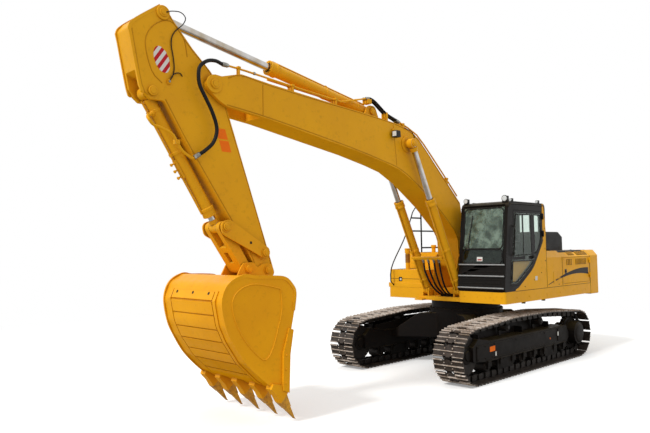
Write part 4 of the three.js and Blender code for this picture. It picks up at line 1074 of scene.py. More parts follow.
# ---------------------------------------------------------------- house
@dataclass(frozen=True)
class Body:
    """Fittings of the rear body, its doors, hood, counterweight and right front."""

    left: float = 1490.0
    top: float = 2250.0
    chamfer: float = 130.0
    door_rear: float = -2640.0
    stripe_tip: float = -700.0
    stripe_length: float = 1880.0
    louvre_pitch: float = 62.0

    def build(self) -> None:
        """Make each group of fittings."""
        self.panels()
        for side, way in (("left", 1), ("right", -1)):
            self.door(side, way)
        self.stripe("house", self.stripe_tip, -1366)
        self.hood()
        self.tail()
        self.deck()
        self.right_front()

    def seam(self, piece: Piece, start: Spot, end: Spot, width: float = 7.0) -> None:
        """Dark joint line between two panels, as a thin strip just proud of them.

        Args:
            piece: Piece that it joins.
            start: One end.
            end: Other end.
            width: Width of the strip.
        """
        low = [min(a, b) - width / 2 for a, b in zip(start, end)]
        high = [max(a, b) + width / 2 for a, b in zip(start, end)]
        piece.block((low[0], high[0]), (low[1], high[1]), (low[2], high[2]), Finish.SHADOW)

    def louvre(self, piece: Piece, x0: float, x1: float, low: float, high: float, way: int, slope: bool) -> None:
        """Row of pressed louvres on the side or on the chamfer above it.

        Args:
            piece: Piece that they join.
            x0: Rear end of the row.
            x1: Front end of the row.
            low: Foot of the row, unless it is on the chamfer.
            high: Top of the row, unless it is on the chamfer.
            way: 1 on the left, -1 on the right.
            slope: True if it is on the chamfer.
        """
        count = max(3, round((x1 - x0) / self.louvre_pitch))
        step = (x1 - x0) / count
        if slope:
            rise = 110
            origin = (0, way * (self.left - self.chamfer / 2), self.top - self.chamfer / 2)
            piece.frame = Matrix.Translation(origin) @ Matrix.Rotation(way * math.radians(45), 4, "X")
        else:
            rise = high - low
            piece.frame = Matrix.Translation((0, way * self.left, (low + high) / 2))
        for k in range(count):
            a = x0 + k * step + 8
            b = a + step - 16
            right, left = span(0, -way * 3)
            # dark block in the louvre's opening: painted shadow
            piece.block((a, b), (right - 0.5, left + 0.9), (-rise / 2, rise / 2), Finish.SHADOW)
            rows = []
            for x, y in ((a + 4, 1.0), (a + (b - a) * 0.45, 9.0), (b - 4, 9.5)):
                rows.append([Vector((x, way * (y - 1), z)) for z in (-rise / 2 + 8, rise / 2 - 8)]
                            + [Vector((x, way * (y + 2), z)) for z in (rise / 2 - 8, -rise / 2 + 8)])
            piece.rings(rows)
        piece.frame = Matrix.Identity(4)

    def panels(self) -> None:
        """Joint lines, louvres on the chamfer, bolts and lifting lugs of the fixed panels."""
        piece = Piece("body_fittings", "house")
        for way in (-1, 1):
            y = way * self.left
            shoulder = self.top - self.chamfer
            self.seam(piece, (-1330, y, 1535), (-1330, y, shoulder))
            self.seam(piece, (self.door_rear - 30, y, 1535), (self.door_rear - 30, y, shoulder))
            self.louvre(piece, -1980, -1680, 0, 0, way, True)
            self.louvre(piece, -2640, -2090, 0, 0, way, True)
            for x in (-1290, -2655):
                for z in (1600, 1850, 2080):
                    piece.bolt((x, y, z), (0, way, 0), 8)
        y = self.left
        # pressed service cover and blank plates between the cab and the door
        piece.block((-1010, -930), (y - 1, y + 5), (1585, 1830))
        for z in (1610, 1650, 1690, 1730, 1770, 1810):
            piece.block((-1225, -1085), (y - 1, y + 4), (z - 9, z + 9))
        piece.bolt((-1160, y, 1562), (0, 1, 0), 9, Finish.LINK)
        piece.block((-800, -740), (1180, 1240), (self.top - 2, self.top + 50))
        # dark disc for the lug's hole: painted shadow
        piece.turned((-770, 1238, self.top + 26), (0, 1, 0), [(0, 12), (4, 12)], Finish.SHADOW, 16)
        piece.done(1.5)

    def door(self, side: str, way: int) -> None:
        """Louvres, stripe, latch and hinge bolts on a side door.

        Args:
            side: left or right.
            way: 1 on the left, -1 on the right.
        """
        piece = Piece(f"{side}_door_fittings", f"{side}_door")
        y = way * self.left
        self.louvre(piece, -1800, -1530, 1945, 2065, way, False)
        self.louvre(piece, -2500, -1960, 1945, 2065, way, False)
        piece.block((-1520, -1440), span(y - way, y + way * 5), (1770, 1860), Finish.PLASTIC)
        piece.block((-1508, -1452), span(y, y + way * 17), (1800, 1830), Finish.CHARCOAL)
        piece.turned((-1480, y + way * 4, 1788), (0, way, 0), [(0, 9), (6, 9), (7, 7)], Finish.ZINC, 20)
        for z in (1605, 2070):
            for x in (-1395, -1990, -2600):
                piece.bolt((x, y, z), (0, way, 0), 7)
        piece.done(1.5)
        if way > 0:
            self.stripe("left_door", -1374, self.door_rear + 60)

    def stripe(self, body: str, front: float, rear: float) -> None:
        """Part of the tapered stripe that rises to the rear.

        Args:
            body: CAD body that this part rides on.
            front: Where it starts.
            rear: Where it ends.
        """
        film = Piece(f"{body}_stripe", body, Slot.YELLOW, Finish.BLACK_FILM)
        rows = []
        for k in range(13):
            x = front + (rear - front) * k / 12
            t = (self.stripe_tip - x) / self.stripe_length
            rise = 1575 + 300 * math.sin(t * 1.7) - 60 * t
            upper, lower = 5 + 50 * t, -6 - 85 * t ** 1.5
            rows.append([Vector((x, self.left + out, rise + up)) for out, up in (
                (-0.5, upper), (1.2, upper), (1.2, lower), (-0.5, lower))])
        film.rings(rows)
        film.done()

    def hood(self) -> None:
        """Grille, hinges and latches of the engine hood and its intake box."""
        piece = Piece("hood_fittings", "engine_hood", Slot.BLACK, Finish.CHARCOAL)
        for k in range(14):
            x = -2340 + k * 58
            piece.block((x, x + 34), (-420, 920), (2655, 2664))
        for y, way in ((-500, -1), (1000, 1)):
            for k in range(9):
                z = 2310 + k * 34
                piece.block((-2300, -1600), span(y - way, y + way * 9), (z, z + 17))
        for k in range(8):
            z = 2310 + k * 36
            piece.block((-1509, -1488), (-440, 940), (z, z + 16))
        for y in (-1250, -900, 1180):
            piece.block((-2480, -2380), (y - 40, y + 40), (2249, 2256))
            for x in (-2450, -2410):
                piece.bolt((x, y, 2256), UP, 9)
        for y in (-1000, 1150):
            piece.turned((-1362, y - 70, 2262), (0, 1, 0), [(0, 15), (140, 15)], sides=20)
        piece.tube([(-2180, -700, 2248), (-2180, -700, 2300), (-2080, -700, 2318), (-1980, -700, 2300),
                    (-1980, -700, 2248)], 10, step=15)
        piece.done(2.0)
        lug = Piece("intake_lug", "engine_hood")
        lug.block((-1450, -1410), (900, 1010), (2249, 2285))
        lug.turned((-1430, 955, 2283), UP, [(0, 26), (14, 26), (22, 16)], sides=24)
        lug.done(2.0)

    def tail(self) -> None:
        """Lifting eyes, cast edges, lamps and plugs of the counterweight."""
        piece = Piece("tail_fittings", "house")
        for y in (-560, 560):
            piece.turned((-2900, y, 2246), UP, [(0, 46), (10, 46), (14, 40)], Finish.PLASTIC, 32)
        for way in (-1, 1):
            self.seam(piece, (-2682, way * self.left, 1290), (-2682, way * self.left, 2120), 6)
        self.seam(piece, (-2682, -1370, 2250), (-2682, 1370, 2250), 6)
        piece.done(2.0)
        lamps = Piece("tail_lamps", "house", Slot.BLACK, Finish.PLASTIC)
        for way in (-1, 1):
            lamps.frame = Matrix.Rotation(-way * math.radians(21), 4, "Z")
            lamps.block((-3448, -3425), (-90, 90), (1880, 1960))
            lamps.block((-3454, -3446), (-78, -4), (1892, 1948), Finish.RED_LENS)
            lamps.block((-3454, -3446), (4, 78), (1892, 1948), Finish.LENS)
        lamps.done(3.0)

    def deck(self) -> None:
        """Bolts, weld beads and lugs along the deck and its uprights."""
        piece = Piece("deck_fittings", "house")
        for x in (-2400, -1800, -1200, -620, 100, 560):
            for way in (-1, 1):
                piece.bolt((x, way * self.left, 1400), (0, way, 0), 12)
        for x in (-620, 180):
            piece.block((x - 22, x + 22), (1380, 1440), (1262, 1302), Finish.CHARCOAL)
        # valve block beside the boom's foot
        piece.block((560, 680), (150, 262), (1385, 1600), Finish.CHARCOAL, 0.9)
        # seam between the deck and what stands on it
        for way in (-1, 1):
            y = way * self.left
            self.seam(piece, (-2676, y, 1519), (590 if way > 0 else 690, y, 1519), 6)
        self.seam(piece, (990, 520, 1519), (990, 1440, 1519), 6)
        for way in (-1, 1):
            outer = way * 285
            piece.tube([(-300, outer, 1846), (-20, outer, 2040), (240, outer, 2216)], 9, Finish.SHADE_YELLOW, step=60)
            piece.turned((450, outer, 2080), (0, way, 0), [(-1, 130), (16, 130), (20, 126)], sides=40)
            piece.bolts((450, outer + way * 18, 2080), way, 104, 6, 12, 0.3)
            for y in (way * 312, way * 440):
                face = 1 if abs(y) > 376 else -1
                spot = y + face * way * 23
                piece.turned((800, spot, 1500), (0, face * way, 0), [(0, 60), (6, 60), (9, 56)], sides=28)
                piece.bolt((800, spot + face * way * 8, 1535), (0, face * way, 0), 10)
        for y in (620, 900, 1180, 1420):
            piece.bolt((990, y, 1420), AHEAD, 11)
        piece.done(2.0)

    def right_front(self) -> None:
        """Lid lines, latches, treads and caps of the tool box, the tank and the filler."""
        piece = Piece("box_fittings", "house")
        self.seam(piece, (690, -1440, 1700), (690, -530, 1700), 6)
        self.seam(piece, (60, -1450, 1894), (60, -540, 1894), 5)
        piece.block((688, 697), (-1210, -1125), (1650, 1735), Finish.CHARCOAL)
        piece.block((695, 703), (-1175, -1135), (1664, 1710), Finish.WHITE)
        for k in range(7):
            x = 90 + k * 85
            piece.block((x, x + 46), (-1485, -1455), (1609, 1614), Finish.CHARCOAL)
        for x in (-100, -340, -580):
            for z in (2200, 1580):
                piece.bolt((x, -self.left, z), (0, -1, 0), 9)
        # grip strips of punched plate on top of the boxes
        for x0, x1, y0, y1, z in ((90, 640, -1380, -1160, 1894), (-600, -80, -1250, -980, 2249)):
            piece.block((x0, x1), (y0, y1), (z, z + 5), Finish.CHARCOAL)
            for a in range(int((x1 - x0) / 70)):
                for b in range(int((y1 - y0) / 70)):
                    piece.turned((x0 + 40 + a * 70, y0 + 38 + b * 70, z + 4), UP,
                                 [(0, 15), (5, 11)], Finish.CHARCOAL, 10)
        # the oil filler's pipe under its cap is drawn brown: painted shade on yellow paint
        for z, profile, finish, sides in (
                (2318, [(0, 61), (9, 64), (22, 64), (30, 54)], Finish.YELLOW, 32),
                (1892, [(0, 78), (12, 78), (15, 72)], Finish.YELLOW, 32),
                (2040, [(0, 50), (180, 50)], Finish.FILLER_SHADE, 28)):
            piece.turned((580, -1050, z), UP, profile, finish, sides)
        piece.turned((-200, -930, 2246), UP, [
            (0, 62), (8, 62), (10, 44), (110, 44), (112, 58), (160, 58), (168, 46)], sides=28)
        piece.turned((-200, -750, 2448), UP, [(0, 59), (6, 62), (20, 62), (26, 50)], Finish.PLASTIC, 32)
        piece.done(1.5)


@dataclass(frozen=True)
class Cab:
    """The cab's seals, guards, wiper, lamps, roof, door furniture and inside."""

    front: float = 995.0
    left: float = 1490.0
    right: float = 480.0
    floor: float = 1520.3
    top: float = 3200.0
    slope: float = 215.0
    screen_right: float = 590.0
    screen_left: float = 1400.0

    def front_x(self, z: float) -> float:
        """Place of the sloped front face at a height."""
        return self.front - self.slope * (z - self.floor) / (self.top - self.floor)

    def build(self) -> None:
        """Make everything on and in the cab."""
        self.screens()
        self.roof()
        self.side()
        self.inside()

    def screens(self) -> None:
        """Seals round the front panes, light trims on the guard bars, wiper and blank label."""
        seal = Piece("screen_seals", "house", Slot.BLACK, Finish.SEAL)
        for low, high in ((2038, 2302), (2318, 3082)):
            y0, y1 = self.screen_right - 12, self.screen_left + 12
            corners = [(low, y0 + 50), (low, y1 - 50), (low + 50, y1), (high - 50, y1), (high, y1 - 50),
                       (high, y0 + 50), (high - 50, y0), (low + 50, y0), (low, y0 + 50)]
            for (z0, a), (z1, b) in zip(corners, corners[1:]):
                seal.tube([(self.front_x(z0) + 9, a, z0), (self.front_x(z1) + 9, b, z1)], 11, step=400)
        seal.done(1.0)
        trim = Piece("guard_trims", "house", Slot.BLACK, Finish.GREY)
        for z in (1590, 1810, 2020):
            x = self.front_x(z) + 32
            trim.tube([(x, self.right + 24, z), (x, self.left - 14, z)], 13, step=400)
            for y in (self.right + 50, self.left - 40):
                trim.turned((x - 42, y, z), AHEAD, [(0, 20), (8, 20), (10, 16)], Finish.CHARCOAL, 20)
        for z in (1670, 1740, 1880, 1950):
            x = self.front_x(z)
            trim.block((x - 4, x + 5), (self.right + 90, self.left - 90), (z - 12, z + 12), Finish.CHARCOAL)
        trim.done(1.0)
        wiper = Piece("wiper", "house", Slot.BLACK, Finish.PLASTIC)
        x = self.front_x
        wiper.turned((x(2310), 680, 2310), AHEAD, [(-2, 24), (26, 24), (32, 18)], sides=24)
        wiper.tube([(x(2310) + 26, 680, 2310), (x(2500) + 30, 700, 2500), (x(2700) + 24, 720, 2700)],
                   7, sides=10, step=60)
        wiper.tube([(x(2430) + 14, 690, 2430), (x(2700) + 18, 722, 2700), (x(2960) + 14, 750, 2960)], 8, step=60)
        wiper.done(1.0)
        label = Piece("screen_label", "house", Slot.BLACK, Finish.WHITE)
        for low, high, right, left, back, face, finish in (
                (2085, 2165, 880, 1000, 6.5, 8.2, Finish.WHITE), (2099, 2125, 896, 984, 7.5, 8.8, Finish.RED_LENS)):
            label.rings([[Vector((x(z) + out, y, z)) for y, out in (
                (right, back), (left, back), (left, face), (right, face))] for z in (low, high)], finish)
        label.done()

    def roof(self) -> None:
        """Ribbed roof skin with a hatch, four lamps, an aerial and the drip rails."""
        piece = Piece("roof_fittings", "house", Slot.BLACK, Finish.CHARCOAL)
        left, right, top = self.left, self.right, self.top
        piece.block((-560, 640), (right + 60, left - 60), (top - 4, top + 9), shrink=0.985)
        piece.block((-420, 300), (right + 210, left - 210), (top + 6, top + 26), shrink=0.97)
        for y in (right + 140, left - 140):
            piece.block((-520, 600), (y - 14, y + 14), (top + 6, top + 20), shrink=0.99)
        for y in (right - 3, left + 3):
            piece.tube([(-560, y, top - 46), (560, y, top - 46), (700, y, top - 62), (786, y, top - 110)],
                       11, sides=10, step=60)
        piece.tube([(800, right + 60, top - 62), (800, left - 60, top - 62)], 13, sides=10, step=300)
        piece.turned((-480, 640, top), UP, [(0, 22), (20, 22), (26, 8), (34, 5)], Finish.PLASTIC, 20)
        piece.tube([(-480, 640, top + 30), (-500, 640, top + 120)], 3.5, Finish.PLASTIC, step=60)
        piece.done(2.5)
        lamps = Piece("roof_lamps", "house", Slot.BLACK, Finish.PLASTIC)
        for x, y, half, height in (
                (720, 560, 45, 85), (720, 1400, 55, 100), (430, 1360, 25, 70), (-560, 1380, 28, 70)):
            z = top + height / 2 + 4
            reach = half + 6
            lamps.turned((x - 44, y, z), AHEAD, [
                (0, reach * 0.5), (14, reach * 0.86), (60, reach), (82, reach), (86, reach * 0.9)],
                sides=28 if half > 40 else 20)
            lamps.turned((x + 38, y, z), AHEAD, [(0, reach * 0.84), (6, reach * 0.84), (10, reach * 0.6)],
                         Finish.LENS, 28)
            lamps.turned((x, y, top - 2), UP, [(0, 15), (10, 15), (14, 9), (height / 2, 9)], sides=16)
        lamps.done(1.5)

    def side(self) -> None:
        """Seals round the door's panes, handle, lock, fairing bolts and labels."""
        door = Piece("cab_door_fittings", "cab_door", Slot.BLACK, Finish.SEAL)
        left = self.left
        y = left + 8
        upper = [(-410, 2470), (-410, 2960), (545, 2960), (650, 2190), (-170, 2190), (-330, 2340), (-410, 2470)]
        lower = [(-90, 2080), (690, 2080), (735, 1695), (530, 1695), (-20, 2010), (-90, 2080)]
        for line in (upper, lower):
            for edge in zip(line, line[1:]):
                door.tube(side_line(edge, y), 10, step=400)
        # the post between the door's fixed and sliding panes
        door.block((-165, -25), (left - 22, left + 12), (2190, 2960), Finish.CHARCOAL)
        door.block((258, 280), (left - 16, left + 10), (2190, 2960), Finish.CHARCOAL)
        door.plate(lower[:5], left - 46, left - 42, Finish.YELLOW)
        door.block((-160, -20), (left - 2, left + 8), (2095, 2185), Finish.PLASTIC)
        door.tube([(-150, left + 4, 2160), (-145, left + 40, 2160), (-60, left + 44, 2160),
                   (-35, left + 6, 2160)], 9, Finish.PLASTIC, step=12)
        door.turned((-100, left + 7, 2110), (0, 1, 0), [(0, 12), (5, 12), (6, 9)], Finish.ZINC, 20)
        door.tube([(700, left + 2, 2200), (708, left + 46, 2230), (650, left + 46, 2700),
                   (640, left + 2, 2730)], 11, Finish.CHARCOAL, step=25)
        door.done(1.5)
        fix = Piece("fairing_fittings", "house")
        for x, z in ((-600, 2300), (-600, 2060), (-420, 1830), (-120, 1700), (250, 1590), (-600, 2700), (-605, 3050)):
            fix.bolt((x, left, z), (0, 1, 0), 9, Finish.CHARCOAL)
        fix.block((-250, -160), (left - 0.5, left + 1.4), (1690, 1770), Finish.WHITE)
        fix.block((-545, -515), (left - 3, left + 3), (2480, 3185))
        fix.tube([(-648, left - 2, 1530), (-648, left - 2, 2640)], 5, Finish.SHADOW, step=400)
        fix.done(1.0)

    def inside(self) -> None:
        """Arm rests, levers, screen, pedals, rear console, floor mat, trims and the seat."""
        stand = Piece("console_fittings", "house", Slot.DARK, Finish.CONSOLE)
        for y in (690, 1320):
            stand.block((-190, 320), (y - 76, y + 76), (2040, 2082), shrink=0.94)
            stand.turned((246, y, 2080), (0.12, 0, 1), [(0, 38), (14, 34), (30, 16), (46, 12)], Finish.SEAL, 24)
            stand.turned((252, y, 2120), (0.12, 0, 1), [
                (0, 12), (60, 15), (80, 25), (120, 29), (150, 26), (166, 12)], Finish.PLASTIC, 24)
        stand.block((560, 620), (600, 700), (1571, 2300), shrink=0.9)
        stand.block((545, 575), (560, 740), (2280, 2440), Finish.PLASTIC)
        stand.block((541, 546), (575, 725), (2295, 2425), Finish.CONSOLE)
        for y in (880, 1060):
            stand.tube([(560, y, 1575), (600, y, 1800), (560, y, 2010)], 12, Finish.CHARCOAL, 10, 40)
            stand.turned((556, y, 2000), UP, [(0, 20), (20, 24), (44, 22), (58, 10)], Finish.PLASTIC, 20)
            stand.block((610, 700), (y - 45, y + 45), (1640, 1656), Finish.SEAL)
        stand.block((-560, -330), (560, 1420), (1571, 2120), Finish.CONSOLE)
        stand.block((-190, 900), (540, 1435), (1570.6, 1580), Finish.SEAL)
        for y in (545, 1425):
            stand.tube([(600, y, 3130), (700, y, 2600), (780, y, 1900)], 20, Finish.CONSOLE, 10, 200)
        stand.done(4.0)
        self.seat()

    def seat(self) -> None:
        """Suspension seat: cushion, back and head rest, each crowned, with sewn channels."""
        frame_piece = Piece("seat_shell", "house", Slot.SEAT, Finish.PLASTIC)
        frame_piece.block((-240, 290), (800, 1210), (1801, 1845), shrink=0.97)
        frame_piece.block((-345, -318), (800, 1210), (1860, 2480), shrink=0.95)
        frame_piece.block((-318, -296), (940, 1070), (2440, 2560))
        frame_piece.done(8.0)
        deep = (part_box("seat")[0].x - SWING_X) / MM
        self.pad("seat_cushion", (deep + 85, deep + 628), (786, 1224), (1842, 1928), 0, 34)
        self.pad("seat_back", (deep + 12, deep + 98), (786, 1224), (1925, 2430), 1, 34)
        last = self.pad("seat_head_rest", (deep + 14, deep + 96), (890, 1120), (2450, 2598), 1, 24)
        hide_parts("seat")

    def pad(self, name: str, x: Flat, y: Flat, z: Flat, upright: int, pull: float) -> bpy.types.Object:
        """One stuffed pad: a subdivided box whose faces crown, whose edges pull in and whose channels dip.

        Args:
            name: Name of the pad.
            x: Its lowest and highest x.
            y: Its lowest and highest y.
            z: Its lowest and highest z.
            upright: 1 for a back, 0 for a cushion.
            pull: How far the corners pull in, in millimetres.

        Returns:
            The pad.
        """
        centre = Vector((sum(x) / 2, sum(y) / 2, sum(z) / 2))
        half = Vector((x[1] - x[0], y[1] - y[0], z[1] - z[0])) / 2
        mesh = bmesh.new()
        bmesh.ops.create_cube(mesh, size=2)
        bmesh.ops.subdivide_edges(mesh, edges=mesh.edges[:], cuts=23, use_grid_fill=True)
        flat, long, wide = (0, 2, 1) if upright else (2, 0, 1)
        for corner in mesh.verts:
            c = corner.co.copy()
            edge_long = 1 - abs(c[long]) ** 6
            edge_wide = 1 - abs(c[wide]) ** 6
            crown = 0.62 + 0.38 * math.sqrt(max(0.0, edge_long * edge_wide))
            channel = 0.0
            for spot in (-0.42, 0.42):
                channel += math.exp(-((c[wide] - spot) / 0.035) ** 2)
            channel += math.exp(-((c[long] - 0.1) / 0.03) ** 2) * (abs(c[wide]) < 0.42)
            face = 1 if c[flat] > 0 else 0.2
            c[flat] *= crown * (1 - 0.16 * channel * face)
            c[wide] *= 1 - pull / half[wide] * abs(c[long]) ** 8 * 0.5
            c[long] *= 1 - pull / half[long] * abs(c[wide]) ** 8 * 0.5
            bulge = noise.noise(c * 2.2 + Vector((3.1, 0, 0))) * 0.03
            corner.co = at(centre + Vector([c[k] * half[k] * (0.985 + bulge * (k == flat)) for k in range(3)]))
        data = bpy.data.meshes.new(name)
        mesh.to_mesh(data)
        mesh.free()
        data.materials.append(material(Finish.CLOTH))
        made = placed(name, data)
        data.polygons.foreach_set("use_smooth", [True] * len(data.polygons))
        made.modifiers.new("round", "SUBSURF").levels = 1
        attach(made, "house")
        log.info("%s: padded piece on house", name)
        return made


# ---------------------------------------------------------------- boom, arm and bucket
def pin_cap(piece: Piece, place: Flat, face: float, way: int, radius: float, bolts: int = 3) -> None:
    """Retaining plate over a pin's end: a ring, a plate and its bolts.

    Args:
        piece: Piece that it joins.
        place: Place (x, z) of the pin.
        face: Place across of the face that it lies on.
        way: 1 to face left, -1 to face right.
        radius: Radius of the ring.
        bolts: Number of bolts.
    """
    foot = (place[0], face, place[1])
    piece.turned(foot, (0, way, 0), [(-2, radius), (10, radius), (14, radius - 5)], sides=40)
    piece.turned(foot, (0, way, 0), [(8, radius * 0.62), (20, radius * 0.62), (23, radius * 0.55)], sides=32)
    piece.bolts((place[0], face + way * 13, place[1]), way, radius * 0.8, bolts, radius * 0.09, 0.5)


def rim(piece: Piece, route: Sequence[Spot], width: float, inner: float, outer: float) -> None:
    """Flat bar welded along the edge of a side plate, on a smooth curve through its corners.

    Args:
        piece: Piece that the bar joins.
        route: Corners of the edge, which runs clockwise as seen from the left side.
        width: Thickness across the machine.
        inner: How far the bar reaches in from the edge.
        outer: How far it stands out.
    """
    points = swept(route, 34)
    rows = []
    for point, along in zip(points, ways_along(points)):
        out = Vector((-along.z, 0, along.x)).normalized()
        rows.append([point + out * d + Vector((0, across, 0)) for across, d in (
            (-width / 2, -inner), (-width / 2, outer), (width / 2, outer), (width / 2, -inner))])
    piece.rings(rows)


@dataclass(frozen=True)
class Boom:
    """Weld beads, bosses, pipes' clamps, lamp and pin caps of the boom."""

    half: float = 250.0
    tip: Flat = (6418.0, 4665.0)
    lift: Flat = (2185.0, 4267.0)
    foot: Flat = (450.0, 2080.0)
    cylinder_base: Flat = (3010.0, 4785.0)
    rod_face: float = 426.0

    def build(self) -> None:
        """Make the boom's fittings."""
        beads = Piece("boom_welds", "boom", Slot.YELLOW, Finish.SHADE_YELLOW)
        upper = [(6180, 4790), (5957, 4866), (5422, 4812), (4367, 4737), (3297, 4669), (2364, 4580), (1834, 4388),
                 (1150, 3800), (520, 3240)]
        lower = [(6200, 4406), (5430, 4322), (4236, 4148), (3478, 4025), (2814, 3898), (2413, 3804), (2000, 3612),
                 (1323, 3184), (735, 2720), (600, 2500)]
        for way in (-1, 1):
            for line in (upper, lower):
                beads.tube(side_line(line, way * (self.half + 0.5)), 7, sides=8, step=90)
            for line in ([(5560, 4330), (5560, 4800)], [(2480, 3850), (2560, 4580)]):
                beads.tube(side_line(line, way * (self.half + 0.5)), 6, sides=8, step=90)
        beads.done()
        piece = Piece("boom_fittings", "boom")
        for way in (-1, 1):
            pin_cap(piece, self.tip, way * (self.half + 25), way, 66)
            pin_cap(piece, self.lift, way * (self.rod_face + 3), way, 62)
            for (x, z), profile in ((self.lift, [(-1, 150), (16, 150), (22, 144)]),
                                    (self.tip, [(-1, 128), (13, 128), (18, 122)]),
                                    (self.foot, [(-1, 150), (8, 150), (12, 146)])):
                piece.turned((x, way * self.half, z), (0, way, 0), profile, sides=44)
            pin_cap(piece, self.cylinder_base, way * 156, way, 60, 2)
        self.pipes(piece)
        piece.done(2.0)
        self.lamp()
        self.grease()

    def pipes(self, piece: Piece) -> None:
        """Bolted clamp blocks and unions along the steel pipes on top.

        Args:
            piece: Piece that they join.
        """
        for x, z, y0, y1 in ((5980, 4966, 186, 246), (4950, 4886, 116, 246), (4000, 4821, 116, 246),
                             (2250, 4622, 116, 246), (900, 3702, 116, 246)):
            piece.block((x - 26, x + 26), (y0, y1), (z - 2, z + 30))
            for y in (y0 + 14, y1 - 14):
                piece.bolt((x, y, z + 29), UP, 9)
        for x, z in ((6172, 4979), (5700, 4952), (3250, 4965)):
            for y in ((212,) if x > 5600 else (155, 212)):
                piece.turned((x - 26, y, z), AHEAD, [(0, 21), (3, 25), (26, 25), (29, 21)], Finish.ZINC, 6)
        for y in (155, 212):
            piece.turned((2328, y, 4662), (1, 0, 0.3), [(0, 20), (3, 24), (26, 24), (29, 20)], Finish.ZINC, 6)
        # crossover block and valve at the arm cylinder's base
        piece.block((3130, 3230), (120, 246), (4880, 4960))
        for y in (140, 225):
            piece.bolt((3180, y, 4959), UP, 10)

    def lamp(self) -> None:
        """Work lamp on the boom's left side."""
        lamp = Piece("boom_lamp", "boom", Slot.BLACK, Finish.PLASTIC)
        lamp.block((2540, 2600), (self.half - 1, self.half + 40), (4470, 4510), Finish.YELLOW)
        lamp.block((2566, 2574), (self.half + 6, self.half + 60), (4350, 4472), Finish.CHARCOAL)
        lamp.block((2530, 2640), (self.half + 40, self.half + 150), (4340, 4460), shrink=0.92)
        lamp.block((2640, 2650), (self.half + 52, self.half + 138), (4356, 4444), Finish.LENS)
        lamp.done(5.0)

    def grease(self) -> None:
        """Thin grease lines from the lamp down the boom's back edge."""
        line = Piece("boom_grease_lines", "boom", Slot.RUBBER, Finish.HOSE)
        route = [(2240, 4560), (2050, 4520), (1960, 4440), (1990, 4330), (2060, 4290)]
        line.tube(side_line(route, self.half + 9), 6, sides=8, step=25)
        line.done()


@dataclass(frozen=True)
class Arm:
    """Weld beads, bosses, labels, grease lines and pin caps of the arm."""

    half: float = 178.0
    head: Flat = (7168.0, 5496.0)
    base: Flat = (7322.0, 4432.0)
    rocker: Flat = (5536.0, 2323.0)
    oval: Flat = (7184.0, 4870.0)
    oval_size: Flat = (112.0, 170.0)

    def build(self) -> None:
        """Make the arm's fittings."""
        beads = Piece("arm_welds", "arm", Slot.YELLOW, Finish.SHADE_YELLOW)
        front = [(7600, 5190), (7590, 5095), (7466, 4490), (7390, 4370)]
        back = [(7132, 4352), (6820, 3856), (6563, 3480), (6098, 2810), (5812, 2400), (5690, 2180)]
        rear = [(5345, 2040), (5712, 3088), (6128, 4215), (6204, 4424), (6428, 4822), (6733, 5098), (7020, 5414),
                (7110, 5550)]
        doubler = [(6800, 4980), (6860, 5230), (7060, 5410), (7300, 5300), (7420, 5060), (7330, 4700), (7180, 4560)]
        for way in (-1, 1):
            for line, step in ((front, 90), (back, 90), (rear, 90), (doubler, 60)):
                beads.tube(side_line(line, way * (self.half + 0.5)), 6.5, sides=8, step=step)
        beads.done()
        piece = Piece("arm_fittings", "arm")
        for way in (-1, 1):
            piece.turned((self.head[0], way * self.half, self.head[1]), (0, way, 0), [(-1, 96), (16, 96), (22, 90)],
                         sides=40)
            pin_cap(piece, self.head, way * (self.half + 20), way, 58)
            pin_cap(piece, self.base, way * (self.half + 20), way, 64)
            piece.turned((self.rocker[0], way * self.half, self.rocker[1]), (0, way, 0),
                         [(-1, 104), (9, 104), (12, 100)], sides=40)
        corners = [(7210, 5590), (7561, 5321), (7643, 5205), (7623, 5095), (7493, 4479), (7440, 4400)]
        for way in (-1, 1):
            rim(piece, side_line(corners, way * (self.half - 9)), 24, 30, 13)
        piece.block((7060, 7110), (self.half - 1, self.half + 26), (4560, 4620))
        piece.turned((7085, self.half + 24, 4592), (0, 1, 0), [(0, 16), (12, 16), (14, 12)], Finish.ZINC, 6)
        piece.done(2.0)
        self.labels()
        self.grease()

    def labels(self) -> None:
        """Striped oval on the head and two blank orange labels on the side."""
        marks = Piece("arm_labels", "arm", Slot.YELLOW, Finish.STRIPED)
        (x, z), (wide, tall) = self.oval, self.oval_size
        oval = [(x + wide * math.cos(a) + 0.24 * tall * math.sin(a), z + tall * math.sin(a))
                for a in (2 * math.pi * k / 48 for k in range(48))]
        marks.plate(oval, self.half - 0.5, self.half + 1.8)
        for low, high in ((3925, 4070), (3750, 3905)):
            shift = (low - 3750) * 0.33
            marks.plate([(6085 + shift, low), (6245 + shift, low), (6293 + shift, high), (6133 + shift, high)],
                        self.half - 0.5, self.half + 1.5, Finish.ORANGE)
        marks.done()

    def grease(self) -> None:
        """Thin grease lines on the head, from the pin down to the block."""
        lines = Piece("arm_grease_lines", "arm", Slot.RUBBER, Finish.HOSE)
        y = self.half + 22
        lines.tube([(7140, y + 18, 5500), (7060, y + 30, 5530), (6930, y + 30, 5545), (6850, y + 20, 5490),
                    (6880, y, 5400), (6980, y - 6, 5300), (7040, y - 8, 5200), (7050, y - 8, 5080),
                    (7024, y - 8, 4940), (7008, y - 8, 4780), (7040, y - 6, 4660), (7082, y, 4606)],
                   7, sides=8, step=30)
        lines.tube([(7080, y, 4600), (7040, y + 10, 4680), (6980, y + 6, 4722), (6920, y - 2, 4728),
                    (6880, y - 18, 4700)], 7, sides=8, step=25)
        lines.done()


